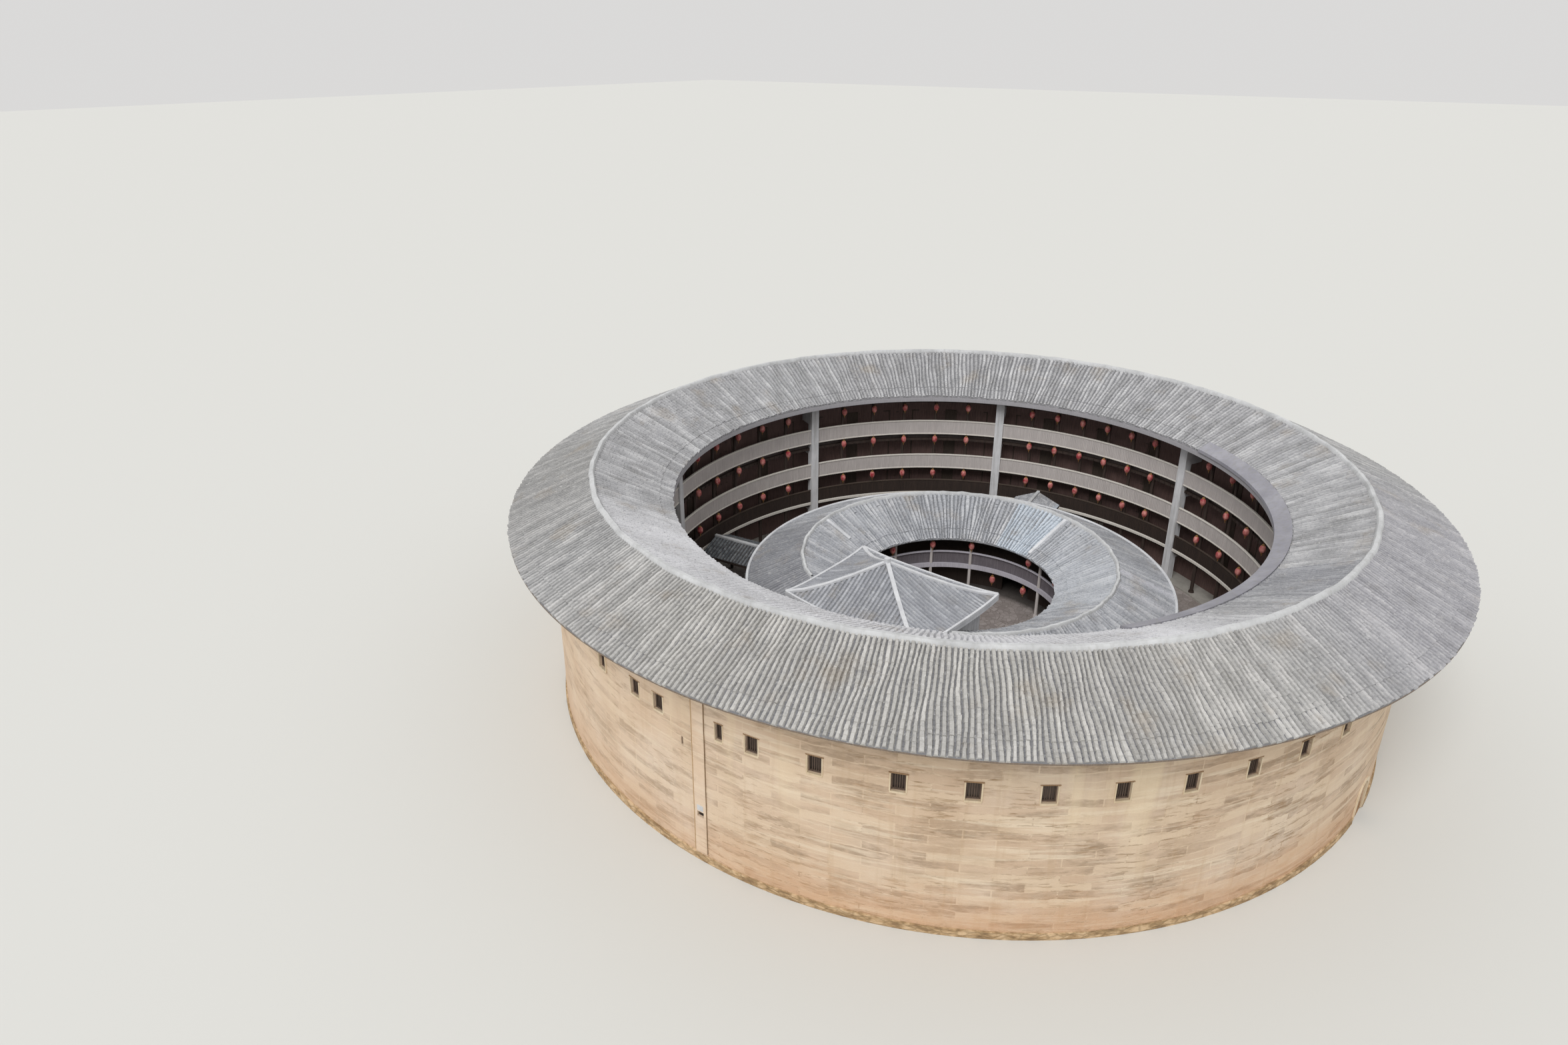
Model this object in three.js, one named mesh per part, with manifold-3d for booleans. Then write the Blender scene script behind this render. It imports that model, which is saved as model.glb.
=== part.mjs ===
// A round clan house of rammed earth, four storeys high, with a two-storey ring and a square hall
// in its court. Every length in the lists of sizes is the real building's, in metres. The model is
// made at half that size, in millimetres, with +Z up. Its origin is the middle of the court at
// ground level and its gate faces -Y. Azimuths are in degrees, counted from +X towards +Y, so the
// gate is at -90 and the back of the hall at 90.
import * as THREE from 'three';
import { mergeGeometries, mergeVertices } from 'three/addons/utils/BufferGeometryUtils.js';
import Module from 'manifold-3d';

const wasm = await Module();
wasm.setup();

// Model millimetres for each real metre, which is the scale of 1:2.
const metre = 500;
// Clearance between neighbouring pieces.
const gap = 0.3;
const weldDistance = 0.01;
// One facet of the outer building, and one of the ring in the court and of the room fronts.
const wallFacet = 7.5;
const innerFacet = 11.25;
// Straight pieces in the head of a doorway's arch, and round a hall column.
const archFacets = 4;
const columnFacets = 10;
// A height or radius that lies safely outside the building, for cutting tools.
const beyond = 40 * metre;

const gateAzimuth = -90;
const hallAzimuth = 90;
const sectorCount = 8;
const sectorAngle = 360 / sectorCount;

// The rammed-earth wall leans in slightly towards its top.
const wall = {
  footRadius: 28.55 * metre,
  topRadius: 28.39 * metre,
  innerRadius: 27.2 * metre,
  height: 15 * metre,
};
const footing = {
  outerRadius: 28.66 * metre,
  topRadius: 28.62 * metre,
  height: 0.45 * metre,
  sill: 0.12 * metre,
};
const roof = {
  eaveRadius: 31.12 * metre,
  eaveHeight: 13.17 * metre,
  ridgeRadius: 25.58 * metre,
  ridgeHeight: 15.5 * metre,
  innerEaveRadius: 20.32 * metre,
  innerEaveHeight: 12.97 * metre,
  eaveBoardFoot: 12.42 * metre,
  eaveBoardThickness: 0.1 * metre,
  thickness: 0.25 * metre,
  ridgeBandWidth: 0.42 * metre,
  ridgeBandRise: 0.14 * metre,
};
// Floor tops from the ground up.
const floors = {
  tops: [0.3 * metre, 3.1 * metre, 5.75 * metre, 8.58 * metre],
  thickness: 0.2 * metre,
  innerRadius: 22.25 * metre,
};
const roomFront = { innerRadius: 23.4 * metre, outerRadius: 23.5 * metre, top: 14.04 * metre };
const fireWall = {
  pierRadius: 21.6 * metre,
  pierDepth: 0.65 * metre,
  thickness: 0.7 * metre,
  outerRadius: 27.17 * metre,
  doorwayEnd: 23.55 * metre,
  doorwayHeight: 2.0 * metre,
};
// The rail of the second storey and the pale parapets of the two storeys above it.
const gallery = {
  innerRadius: 21.72 * metre,
  outerRadius: 21.94 * metre,
  bands: [
    [4.22 * metre, 4.4 * metre],
    [5.58 * metre, 6.85 * metre],
    [8.86 * metre, 10.11 * metre],
  ],
  postInnerRadius: 21.84 * metre,
  postOuterRadius: 22.17 * metre,
  postWidth: 0.22 * metre,
};
const sixBays = [-15, -7.5, 0, 7.5, 15];
const sevenBays = [-15, -9, -3, 3, 9, 15];

const windowSize = { width: 0.74 * metre, height: 1.05 * metre, centreHeight: 9.15 * metre };
// One window is narrower than the others.
const narrowWindow = { azimuth: 96.3, width: 0.46 * metre };
// The middle of the back wall's windows, and their places to either side of it.
const backWindowAzimuth = 91.9;
const pairedWindows = [4.4, 8.5, 15.6];
const evenWindows = { first: 24.1, pitch: 7.2, count: 9 };
const sideWindowAzimuths = [1, 181];

// Doorways through the wall, each with a pale surround let into it and standing a little proud.
const surround = { depth: 0.25 * metre, proud: 0.07 * metre };
const sideDoor = { width: 1.4 * metre, height: 2.45 * metre, frame: 0.26 * metre };
const gateDoor = { width: 2.2 * metre, height: 3.1 * metre, frame: 0.32 * metre };
const doors = [
  { name: 'gate_surround', ...gateDoor, azimuth: gateAzimuth },
  { name: 'east_door_surround', ...sideDoor, azimuth: 2 },
  { name: 'west_door_surround', ...sideDoor, azimuth: 178 },
];
// Bays between gallery posts that the gate's hall and the side passages take up.
const gateBay = { azimuth: gateAzimuth, width: 2.3 * metre, height: 2.5 * metre };
const sideBays = [
  { azimuth: 3.75, width: 2.4 * metre, height: 2.4 * metre },
  { azimuth: 176.25, width: 2.4 * metre, height: 2.4 * metre },
];

// The plastered strip that runs up the back wall, with its small square outlet.
const strip = {
  azimuth: 93.5,
  width: 0.85 * metre,
  depth: 0.3 * metre,
  proud: 0.05 * metre,
  top: 13.9 * metre,
};
const outlet = { width: 0.46 * metre, bottom: 3.0 * metre, top: 3.36 * metre };

const court = { radius: fireWall.pierRadius - gap, thickness: 0.15 * metre };
const innerRing = {
  eaveRadius: 15.43 * metre,
  eaveHeight: 5.74 * metre,
  ridgeRadius: 11.24 * metre,
  ridgeHeight: 7.53 * metre,
  innerEaveRadius: 7.12 * metre,
  innerEaveHeight: 5.4 * metre,
  roofThickness: 0.2 * metre,
  ridgeBandWidth: 0.34 * metre,
  ridgeBandRise: 0.12 * metre,
  wallRadius: 14.5 * metre,
  wallThickness: 0.35 * metre,
  frontRadius: 9.85 * metre,
  frontThickness: 0.1 * metre,
  floorTop: 2.75 * metre,
  floorThickness: 0.2 * metre,
  floorRadius: 8.32 * metre,
  bandInnerRadius: 7.95 * metre,
  bandOuterRadius: 8.1 * metre,
  bands: [[2.5 * metre, 2.75 * metre], [3.5 * metre, 3.62 * metre]],
  postInnerRadius: 8.02 * metre,
  postOuterRadius: 8.28 * metre,
  postWidth: 0.2 * metre,
  postAzimuths: [-157.5, -135, -112.5, -67.5, -45, -22.5, 0, 22.5, 157.5, 180],
};
const innerDoors = [
  { azimuth: gateAzimuth, width: 2.4 * metre, height: 2.35 * metre },
  { azimuth: 3.75, width: 1.6 * metre, height: 2.2 * metre },
  { azimuth: 176.25, width: 1.6 * metre, height: 2.2 * metre },
];

// The square hall, in the building's own x and y.
const hall = {
  halfWidth: 4.9 * metre,
  front: 4.2 * metre,
  back: 11.95 * metre,
  floorTop: 0.5 * metre,
  wallThickness: 0.35 * metre,
  eaveHeight: 7.42 * metre,
  apexHeight: 9.85 * metre,
  roofThickness: 0.22 * metre,
  cornerLift: 0.25 * metre,
  hipWidth: 0.28 * metre,
  hipRise: 0.16 * metre,
  columnRadius: 0.16 * metre,
  columnPlaces: [-1.7 * metre, 1.7 * metre],
  beamBottom: 6.5 * metre,
  columnLap: 0.3 * metre,
};
// The hall's eaves aren't quite square, and its apex stands a little aside from their middle. The corners
// run round from the one at the front on the left, seen from the gate.
const hallApex = new THREE.Vector2(0.6, 8.1).multiplyScalar(metre);
const hallEaves = [[-5.5, 3.75], [5.7, 3.75], [5.65, 12.6], [-5.15, 13.1]].map(([x, y]) => {
  return new THREE.Vector2(x, y).multiplyScalar(metre);
});
// How far out from the apex each row of the hall's roof lies, and how steeply it curves up to it.
const hallRows = [1, 0.82, 0.6, 0.35, 0];
const hallCurve = 1.3;
const hallRoofTurns = 16;
// The eight-sided cap where the hips meet, in shares of a hip's width.
const hipCap = { radius: 0.9, topRadius: 0.72, facets: 8 };

// Low gabled roofs on posts over the ways between the two rings.
const frontWay = { halfWidth: 1.95 * metre, ridge: 4.9 * metre, eave: 4.05 * metre, end: 20 * metre };
const sideWay = { halfWidth: 2.1 * metre, ridge: 3.75 * metre, eave: 2.95 * metre, end: 21.4 * metre };
const passages = [
  { name: 'front_passage', ...frontWay, azimuth: -79.5 },
  { name: 'east_passage', ...sideWay, azimuth: 9.5 },
  { name: 'west_passage', ...sideWay, azimuth: 170.5 },
];
const passageRoof = {
  start: 14.52 * metre,
  thickness: 0.18 * metre,
  postWidth: 0.18 * metre,
  postInset: 0.5 * metre,
};

const colours = {
  earth: '#d3b387',
  stone: '#b9ab97',
  tile: '#8f9191',
  lime: '#cfcfcb',
  plaster: '#c3c5c1',
  timber: '#4a3b30',
  weatheredBoard: '#b2b3aa',
  floorBoard: '#5c4a3b',
  paving: '#8d8279',
};
const finish = Object.fromEntries(Object.entries(colours).map(([name, color]) => [
  name,
  new THREE.MeshStandardMaterial({ name, color, roughness: 0.9, metalness: 0 }),
]));

const house = new THREE.Group();
house.name = 'tulou_roundhouse';
const up = new THREE.Vector3(0, 0, 1);
const radians = THREE.MathUtils.degToRad;

function bareCopy(geometry) {
  const copy = geometry.index ? geometry.toNonIndexed() : geometry.clone();
  for (const name of Object.keys(copy.attributes)) {
    if (name !== 'position') copy.deleteAttribute(name);
  }
  return copy;
}

// Joins surfaces that close on each other into one solid.
function solidFrom(...surfaces) {
  const skin = mergeVertices(mergeGeometries(surfaces.map(bareCopy)), weldDistance);
  const corners = Array.from(skin.index.array);
  const triangles = Array.from({ length: corners.length / 3 }, (_, number) => {
    return corners.slice(3 * number, 3 * number + 3);
  });
  return new wasm.Manifold(new wasm.Mesh({
    numProp: 3,
    vertProperties: new Float32Array(skin.attributes.position.array),
    triVerts: new Uint32Array(triangles.filter((triangle) => new Set(triangle).size === 3).flat()),
  }));
}

function counterClockwise(corners) {
  const points = corners.map(([x, y]) => new THREE.Vector2(x, y));
  return THREE.ShapeUtils.isClockWise(points) ? points.reverse() : points;
}

function reversed(geometry) {
  const flipped = geometry.clone();
  const { index } = flipped;
  for (let corner = 0; corner < index.count; corner += 3) {
    const first = index.getX(corner);
    index.setX(corner, index.getX(corner + 1));
    index.setX(corner + 1, first);
  }
  return flipped;
}

// Turns a section of [radius, height] corners about the building's middle, all round or part of it.
function revolve(section, facet, from = 0, to = 360) {
  const points = counterClockwise(section);
  const turn = radians(to - from);
  const facets = Math.round((to - from) / facet);
  const skin = new THREE.LatheGeometry([...points, points[0]], facets, radians(from + 90), turn);
  skin.rotateX(Math.PI / 2);
  if (to - from >= 360) return solidFrom(skin);
  const cap = new THREE.ShapeGeometry(new THREE.Shape(points));
  cap.rotateX(Math.PI / 2);
  return solidFrom(skin, cap.clone().rotateZ(radians(from)), reversed(cap).rotateZ(radians(to)));
}

// Stands an outline of [across, height] corners upright and extrudes it outwards between two radii.
function radialPrism(outline, [fromRadius, toRadius], azimuth) {
  const settings = { depth: toRadius - fromRadius, bevelEnabled: false, curveSegments: archFacets };
  const body = new THREE.ExtrudeGeometry(outline, settings);
  const outward = new THREE.Vector3(1, 0, 0).applyAxisAngle(up, radians(azimuth));
  const place = new THREE.Matrix4().makeBasis(up.clone().cross(outward), up, outward);
  return solidFrom(body.applyMatrix4(place.setPosition(outward.clone().multiplyScalar(fromRadius))));
}

// A block that lies between two distances across a radius, two heights and two radii.
function radialBlock([left, right], [bottom, top], radii, azimuth) {
  const corners = [[left, bottom], [right, bottom], [right, top], [left, top]];
  return radialPrism(new THREE.Shape(counterClockwise(corners)), radii, azimuth);
}

// Extrudes a section of [radius, height] corners sideways, so that it stands along a radius.
function radialPlate(section, width, azimuth) {
  const outline = new THREE.Shape(counterClockwise(section));
  const body = new THREE.ExtrudeGeometry(outline, { depth: width, bevelEnabled: false });
  const outward = new THREE.Vector3(1, 0, 0).applyAxisAngle(up, radians(azimuth));
  body.translate(0, 0, -width / 2);
  const place = new THREE.Matrix4().makeBasis(outward, up, outward.clone().cross(up));
  return solidFrom(body.applyMatrix4(place));
}

function rectangle([fromRadius, toRadius], [bottom, top]) {
  return [[fromRadius, bottom], [toRadius, bottom], [toRadius, top], [fromRadius, top]];
}

function block([fromX, toX], [fromY, toY], [bottom, top]) {
  const body = new THREE.BoxGeometry(toX - fromX, toY - fromY, top - bottom);
  return solidFrom(body.translate((fromX + toX) / 2, (fromY + toY) / 2, (bottom + top) / 2));
}

function join(solids) {
  return solids.reduce((whole, piece) => whole.add(piece));
}

function cut(whole, tools) {
  return tools.reduce((rest, tool) => rest.subtract(tool), whole);
}

function add(name, solid, material, azimuth = 0) {
  const { numProp, vertProperties, triVerts } = solid.getMesh();
  const geometry = new THREE.BufferGeometry();
  geometry.setAttribute('position', new THREE.Float32BufferAttribute(vertProperties, numProp));
  geometry.setIndex(new THREE.Uint32BufferAttribute(triVerts, 1));
  const mesh = new THREE.Mesh(geometry, material);
  mesh.name = name;
  mesh.rotation.z = radians(azimuth);
  house.add(mesh);
}

function sectorAzimuth(number) {
  return gateAzimuth + number * sectorAngle;
}

function wallRing(section) {
  return revolve(section, wallFacet);
}

function innerRingOf(section) {
  return revolve(section, innerFacet);
}

// Roofs of the outer building

const outerSlope = (roof.ridgeHeight - roof.eaveHeight) / (roof.eaveRadius - roof.ridgeRadius);
const innerSlope = (roof.ridgeHeight - roof.innerEaveHeight) / (roof.ridgeRadius - roof.innerEaveRadius);

// All that lies above the underside of the main roof, which walls and posts are cut off against.
const aboveRoofUnderside = wallRing([
  [roof.innerEaveRadius, roof.innerEaveHeight - roof.thickness - gap],
  [roof.ridgeRadius, roof.ridgeHeight - roof.thickness - gap],
  [roof.eaveRadius, roof.eaveHeight - roof.thickness - gap],
  [roof.eaveRadius, beyond],
  [roof.innerEaveRadius, beyond],
]);

function roofSlab(top) {
  const underside = top.map(([radius, height]) => [radius, height - roof.thickness]).reverse();
  return wallRing([...top, ...underside]);
}

function makeRoof() {
  const outerSlab = roofSlab([
    [roof.ridgeRadius + gap / 2, roof.ridgeHeight],
    [roof.eaveRadius, roof.eaveHeight],
  ]);
  add('outer_roof', outerSlab, finish.tile);
  const innerSlab = roofSlab([
    [roof.innerEaveRadius, roof.innerEaveHeight],
    [roof.ridgeRadius - gap / 2, roof.ridgeHeight],
  ]);
  const boardRadii = [roof.innerEaveRadius, roof.innerEaveRadius + roof.eaveBoardThickness];
  const boardHeights = [roof.eaveBoardFoot, roof.innerEaveHeight - roof.thickness / 2];
  add('inner_roof', join([innerSlab, wallRing(rectangle(boardRadii, boardHeights))]), finish.tile);
}

function ridgeBand(sizes, slopeOut, slopeIn, ring) {
  const half = sizes.ridgeBandWidth / 2;
  const crest = sizes.ridgeHeight + sizes.ridgeBandRise;
  const seat = sizes.ridgeHeight + gap;
  const section = [
    [sizes.ridgeRadius - half, seat - half * slopeIn],
    [sizes.ridgeRadius, seat],
    [sizes.ridgeRadius + half, seat - half * slopeOut],
    [sizes.ridgeRadius, crest],
  ];
  return ring(section);
}

// Openings in the wall

function wallFace(height) {
  return wall.footRadius + (wall.topRadius - wall.footRadius) * (height / wall.height);
}

function windowsBeside(axis) {
  const even = Array.from({ length: evenWindows.count }, (_, place) => {
    return evenWindows.first + place * evenWindows.pitch;
  });
  return [...pairedWindows, ...even].flatMap((offset) => [axis - offset, axis + offset]);
}

const windowAzimuths = [
  ...windowsBeside(backWindowAzimuth),
  ...windowsBeside(gateAzimuth),
  ...sideWindowAzimuths,
];
const throughWall = [wall.innerRadius - metre, beyond];

function windowHole(azimuth) {
  const isNarrow = Math.abs(azimuth - narrowWindow.azimuth) < 1;
  const { width } = isNarrow ? narrowWindow : windowSize;
  const { height, centreHeight } = windowSize;
  const heights = [centreHeight - height / 2, centreHeight + height / 2];
  return radialBlock([-width / 2, width / 2], heights, throughWall, azimuth);
}

// A doorway outline with a round head above its sill, grown on its sides and head.
function archOutline(door, grown, sill) {
  const half = door.width / 2 + grown;
  const spring = door.height - door.width / 2;
  const outline = new THREE.Shape();
  outline.moveTo(-half, sill);
  outline.lineTo(half, sill);
  outline.lineTo(half, spring);
  outline.absarc(0, spring, half, 0, Math.PI, false);
  return outline;
}

const surroundBack = wall.footRadius - surround.depth;

function doorHole(door) {
  return radialPrism(archOutline(door, 0, footing.sill), throughWall, door.azimuth);
}

function surroundRecess(door) {
  const outline = archOutline(door, door.frame + gap, footing.sill);
  return radialPrism(outline, [surroundBack - gap, beyond], door.azimuth);
}

function makeDoorSurrounds() {
  for (const door of doors) {
    const radii = [surroundBack, wall.footRadius + surround.proud];
    const outerArch = archOutline(door, door.frame, footing.sill + gap);
    const outside = radialPrism(outerArch, radii, door.azimuth);
    const innerRadii = [surroundBack - metre, beyond];
    const inside = radialPrism(archOutline(door, 0, 0), innerRadii, door.azimuth);
    add(door.name, cut(outside, [inside]), finish.lime);
  }
}

// The plastered strip leans with the wall that it is let into.
function stripSection(backGap, front, foot, top) {
  const back = strip.depth + backGap;
  return [
    [wallFace(foot) - back, foot],
    [wallFace(foot) + front, foot],
    [wallFace(top) + front, top],
    [wallFace(top) - back, top],
  ];
}

function makeStrip() {
  const section = stripSection(0, strip.proud, footing.height + gap, strip.top);
  const body = radialPlate(section, strip.width, strip.azimuth);
  const half = outlet.width / 2;
  const holeHeights = [outlet.bottom, outlet.top];
  const hole = radialBlock([-half, half], holeHeights, [wall.innerRadius, beyond], strip.azimuth);
  add('back_strip', cut(body, [hole]), finish.plaster);
}

// Walls

function makeOuterWall() {
  const section = rectangle([wall.innerRadius, wall.footRadius], [0, wall.height]);
  section[2][0] = wall.topRadius;
  const stripSides = strip.width + 2 * gap;
  const stripSpace = stripSection(gap, metre, footing.height, strip.top + gap);
  const stripRecess = radialPlate(stripSpace, stripSides, strip.azimuth);
  const openings = [
    aboveRoofUnderside,
    stripRecess,
    ...windowAzimuths.map(windowHole),
    ...doors.flatMap((door) => [doorHole(door), surroundRecess(door)]),
  ];
  const edge = THREE.MathUtils.radToDeg(gap / 2 / wall.innerRadius);
  // The wall is jointed at the fire walls and once more in the middle of its back.
  const joints = [hallAzimuth];
  for (let number = 0; number < sectorCount; number += 1) {
    joints.push(sectorAzimuth(number) - sectorAngle / 2);
  }
  joints.sort((one, other) => one - other);
  joints.forEach((from, number) => {
    const to = joints[number + 1] ?? joints[0] + 360;
    const segment = revolve(section, wallFacet, from + edge, to - edge);
    add(`outer_wall_${number + 1}`, cut(segment, openings), finish.earth);
  });
}

// The space that a doorway and its surround leave free of the footing.
function footingBreak(door) {
  const half = door.width / 2 + door.frame + gap;
  return radialBlock([-half, half], [-metre, footing.height + metre], throughWall, door.azimuth);
}

// The doorways break the footing into three runs, named from west to east by their middles.
function makeFooting() {
  const ring = wallRing([
    [wall.footRadius + gap, 0],
    [footing.outerRadius, 0],
    [footing.topRadius, footing.height],
    [wall.footRadius + gap, footing.height],
  ]);
  const middle = (run) => run.boundingBox().min[0] + run.boundingBox().max[0];
  const runs = cut(ring, doors.map(footingBreak)).decompose();
  runs.sort((one, other) => middle(one) - middle(other));
  ['west_footing', 'back_footing', 'east_footing'].forEach((name, number) => {
    add(name, runs[number], finish.stone);
  });
}

// A fire wall with its pier on the court side and a corridor doorway through it at every storey.
function makeFireWalls() {
  const heightsOfAll = [floors.tops[0] + gap, wall.height];
  const outline = rectangle([fireWall.pierRadius, fireWall.outerRadius], heightsOfAll);
  const body = radialPlate(outline, fireWall.thickness, 0);
  const doorwayRadii = [fireWall.pierRadius + fireWall.pierDepth, fireWall.doorwayEnd];
  const doorways = floors.tops.map((top) => {
    const heights = [top - floors.thickness - gap, top + fireWall.doorwayHeight];
    return radialPlate(rectangle(doorwayRadii, heights), fireWall.thickness + metre, 0);
  });
  const localCover = aboveRoofUnderside.rotate(0, 0, -sectorAngle / 2);
  const whole = cut(body, [localCover, ...doorways]);
  for (let number = 0; number < sectorCount; number += 1) {
    add(`fire_wall_${number + 1}`, whole, finish.plaster, sectorAzimuth(number) + sectorAngle / 2);
  }
}

// What the fire walls take out of the floors and the tops of the room fronts.
function fireWallGaps(radii, heights) {
  return Array.from({ length: sectorCount }, (_, number) => {
    const width = fireWall.thickness + 2 * gap;
    return radialPlate(rectangle(radii, heights), width, sectorAzimuth(number) + sectorAngle / 2);
  });
}

function makeFloors() {
  const names = ['ground_floor', 'second_floor', 'third_floor', 'fourth_floor'];
  const pierBack = fireWall.pierRadius + fireWall.pierDepth;
  floors.tops.forEach((top, storey) => {
    if (storey === 0) {
      const radii = [fireWall.pierRadius, wall.innerRadius - gap];
      add(names[storey], wallRing(rectangle(radii, [0, top])), finish.stone);
      return;
    }
    const heights = [top - floors.thickness, top];
    const slab = wallRing(rectangle([floors.innerRadius, wall.innerRadius - gap], heights));
    const cutHeights = [heights[0] - metre, heights[1] + metre];
    const notches = [
      ...fireWallGaps([fireWall.doorwayEnd - gap, wall.footRadius], cutHeights),
      ...fireWallGaps([fireWall.pierRadius, pierBack + gap], cutHeights),
    ];
    add(names[storey], cut(slab, notches), finish.floorBoard);
  });
}

// The timber wall between the corridor and the rooms, one ring to a storey.
function makeRoomFronts() {
  floors.tops.forEach((top, storey) => {
    const isTop = storey + 1 === floors.tops.length;
    const ceiling = isTop ? roomFront.top : floors.tops[storey + 1] - floors.thickness - gap;
    const thickness = [roomFront.innerRadius, roomFront.outerRadius];
    const ring = innerRingOf(rectangle(thickness, [top + gap, ceiling]));
    const lintelRadii = [fireWall.pierRadius, fireWall.doorwayEnd + gap];
    const lintels = fireWallGaps(lintelRadii, [top + fireWall.doorwayHeight - gap, beyond]);
    const wayThrough = storey === 0 ? [gateBay, ...sideBays].map((bay) => {
      const across = [-bay.width / 2, bay.width / 2];
      const bayRadii = [fireWall.pierRadius, wall.innerRadius];
      return radialBlock(across, [0, top + bay.height], bayRadii, bay.azimuth);
    }) : [];
    add(`room_front_${storey + 1}`, cut(ring, [...lintels, ...wayThrough]), finish.timber);
  });
}

// The gallery frame between two piers: its posts, joined by the bands that run past them.
function makeGalleries() {
  const half = sectorAngle / 2;
  const foot = floors.tops[0] + gap;
  const bandRadii = [gallery.innerRadius, gallery.outerRadius];
  const bandPieces = gallery.bands.map((heights) => {
    return revolve(rectangle(bandRadii, heights), wallFacet, -half, half);
  });
  const postRadii = [gallery.postInnerRadius, gallery.postOuterRadius];
  const across = [-gallery.postWidth / 2, gallery.postWidth / 2];
  const pierSpace = rectangle([0, wall.innerRadius], [0, wall.height]);
  const piers = [-half, half].map((azimuth) => {
    return radialPlate(pierSpace, fireWall.thickness + 2 * gap, azimuth);
  });
  const frames = [sixBays, sevenBays].map((azimuths) => {
    const posts = azimuths.map((azimuth) => radialBlock(across, [foot, wall.height], postRadii, azimuth));
    return cut(join([...bandPieces, ...posts]), [...piers, aboveRoofUnderside]);
  });
  for (let number = 0; number < sectorCount; number += 1) {
    const azimuth = sectorAzimuth(number);
    const onAxis = azimuth === gateAzimuth || azimuth === hallAzimuth;
    add(`gallery_${number + 1}`, frames[onAxis ? 1 : 0], finish.weatheredBoard, azimuth);
  }
}

// The square hall

// A point of the eaves' plan, from shares of -1 to 1 across it and along it.
function eavePoint(across, along) {
  const [frontWest, frontEast, backEast, backWest] = hallEaves;
  const front = frontWest.clone().lerp(frontEast, (across + 1) / 2);
  const back = backWest.clone().lerp(backEast, (across + 1) / 2);
  return front.lerp(back, (along + 1) / 2);
}

function hallRoofHeight(row, cornerShare) {
  const rise = (hall.apexHeight - hall.eaveHeight) * (1 - row) ** hallCurve;
  return hall.eaveHeight + rise + hall.cornerLift * cornerShare ** 2 * row ** 4;
}

// Spins rows of [share of the eave, height above the roof's surface] and squares them to the plan.
function squaredRoof(rows) {
  const points = counterClockwise(rows);
  const skin = new THREE.LatheGeometry([...points, points[0]], hallRoofTurns).rotateX(Math.PI / 2);
  const { position } = skin.attributes;
  for (let corner = 0; corner < position.count; corner += 1) {
    const x = position.getX(corner);
    const y = position.getY(corner);
    const row = Math.hypot(x, y);
    const larger = Math.max(Math.abs(x), Math.abs(y), weldDistance);
    const cornerShare = row > 0 ? (row / larger - 1) / (Math.SQRT2 - 1) : 0;
    const height = position.getZ(corner) + hallRoofHeight(Math.min(row, 1), cornerShare);
    const place = hallApex.clone().lerp(eavePoint(x / larger, y / larger), row);
    position.setXYZ(corner, place.x, place.y, height);
  }
  return solidFrom(skin);
}

function makeHall() {
  const across = [-hall.halfWidth, hall.halfWidth];
  const roofUnderside = hallRows.map((row) => [row, -hall.roofThickness - gap]);
  const above = squaredRoof([...roofUnderside, [0, beyond], [1, beyond]]);
  const plinth = block(across, [hall.front, hall.back], [court.thickness + gap, hall.floorTop]);
  add('hall_floor', plinth, finish.stone);

  const wallFront = hall.front + 2 * hall.wallThickness;
  const shell = block(across, [wallFront, hall.back], [hall.floorTop + gap, hall.apexHeight]);
  const room = block(
    across.map((x) => x - Math.sign(x) * hall.wallThickness),
    [0, hall.back - hall.wallThickness],
    [0, beyond],
  );
  add('hall_walls', cut(shell, [room, above]), finish.plaster);

  const beamBack = wallFront - gap;
  const beamDepth = [beamBack - hall.wallThickness, beamBack];
  const beam = block(across, beamDepth, [hall.beamBottom, hall.apexHeight]);
  const columns = hall.columnPlaces.map((x) => {
    const height = hall.beamBottom + hall.columnLap - hall.floorTop - gap;
    const radii = [hall.columnRadius, hall.columnRadius];
    const column = new THREE.CylinderGeometry(...radii, height, columnFacets).rotateX(Math.PI / 2);
    const middle = [beamBack - hall.wallThickness / 2, hall.floorTop + gap + height / 2];
    return solidFrom(column.translate(x, ...middle));
  });
  add('hall_front_frame', cut(join([beam, ...columns]), [above]), finish.timber);

  const surface = hallRows.map((row) => [row, 0]);
  const underside = hallRows.map((row) => [row, -hall.roofThickness]).reverse();
  add('hall_roof', squaredRoof([...surface, ...underside]), finish.tile);
}

// The four broad hips of the hall's roof, which meet under a cap.
function makeHallHips() {
  const hips = hallEaves.map((corner) => {
    const outward = corner.clone().sub(hallApex);
    const reach = outward.length();
    const lower = hallRows.map((row) => [row * reach, hallRoofHeight(row, 1) + gap]);
    const upper = hallRows.map((row) => [row * reach, hallRoofHeight(row, 1) + hall.hipRise]).reverse();
    return radialPlate([...lower, ...upper], hall.hipWidth, THREE.MathUtils.radToDeg(outward.angle()));
  });
  const capRadii = [hipCap.topRadius * hall.hipWidth, hipCap.radius * hall.hipWidth];
  const cap = new THREE.CylinderGeometry(...capRadii, 2 * hall.hipRise, hipCap.facets);
  cap.rotateX(Math.PI / 2).translate(0, 0, hall.apexHeight + gap + hall.hipRise);
  const capSolid = solidFrom(cap);
  add('hall_hips', join([...hips, capSolid]).translate(hallApex.x, hallApex.y, 0), finish.lime);
}

// The two-storey ring in the court, which the hall interrupts

const ringOuterSlope = (innerRing.ridgeHeight - innerRing.eaveHeight)
  / (innerRing.eaveRadius - innerRing.ridgeRadius);
const ringInnerSlope = (innerRing.ridgeHeight - innerRing.innerEaveHeight)
  / (innerRing.ridgeRadius - innerRing.innerEaveRadius);

// Doorways of the ring, cut between two radii.
function innerDoorways(radii) {
  return innerDoors.map(({ width, height, azimuth }) => {
    return radialBlock([-width / 2, width / 2], [0, court.thickness + height], radii, azimuth);
  });
}

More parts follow.
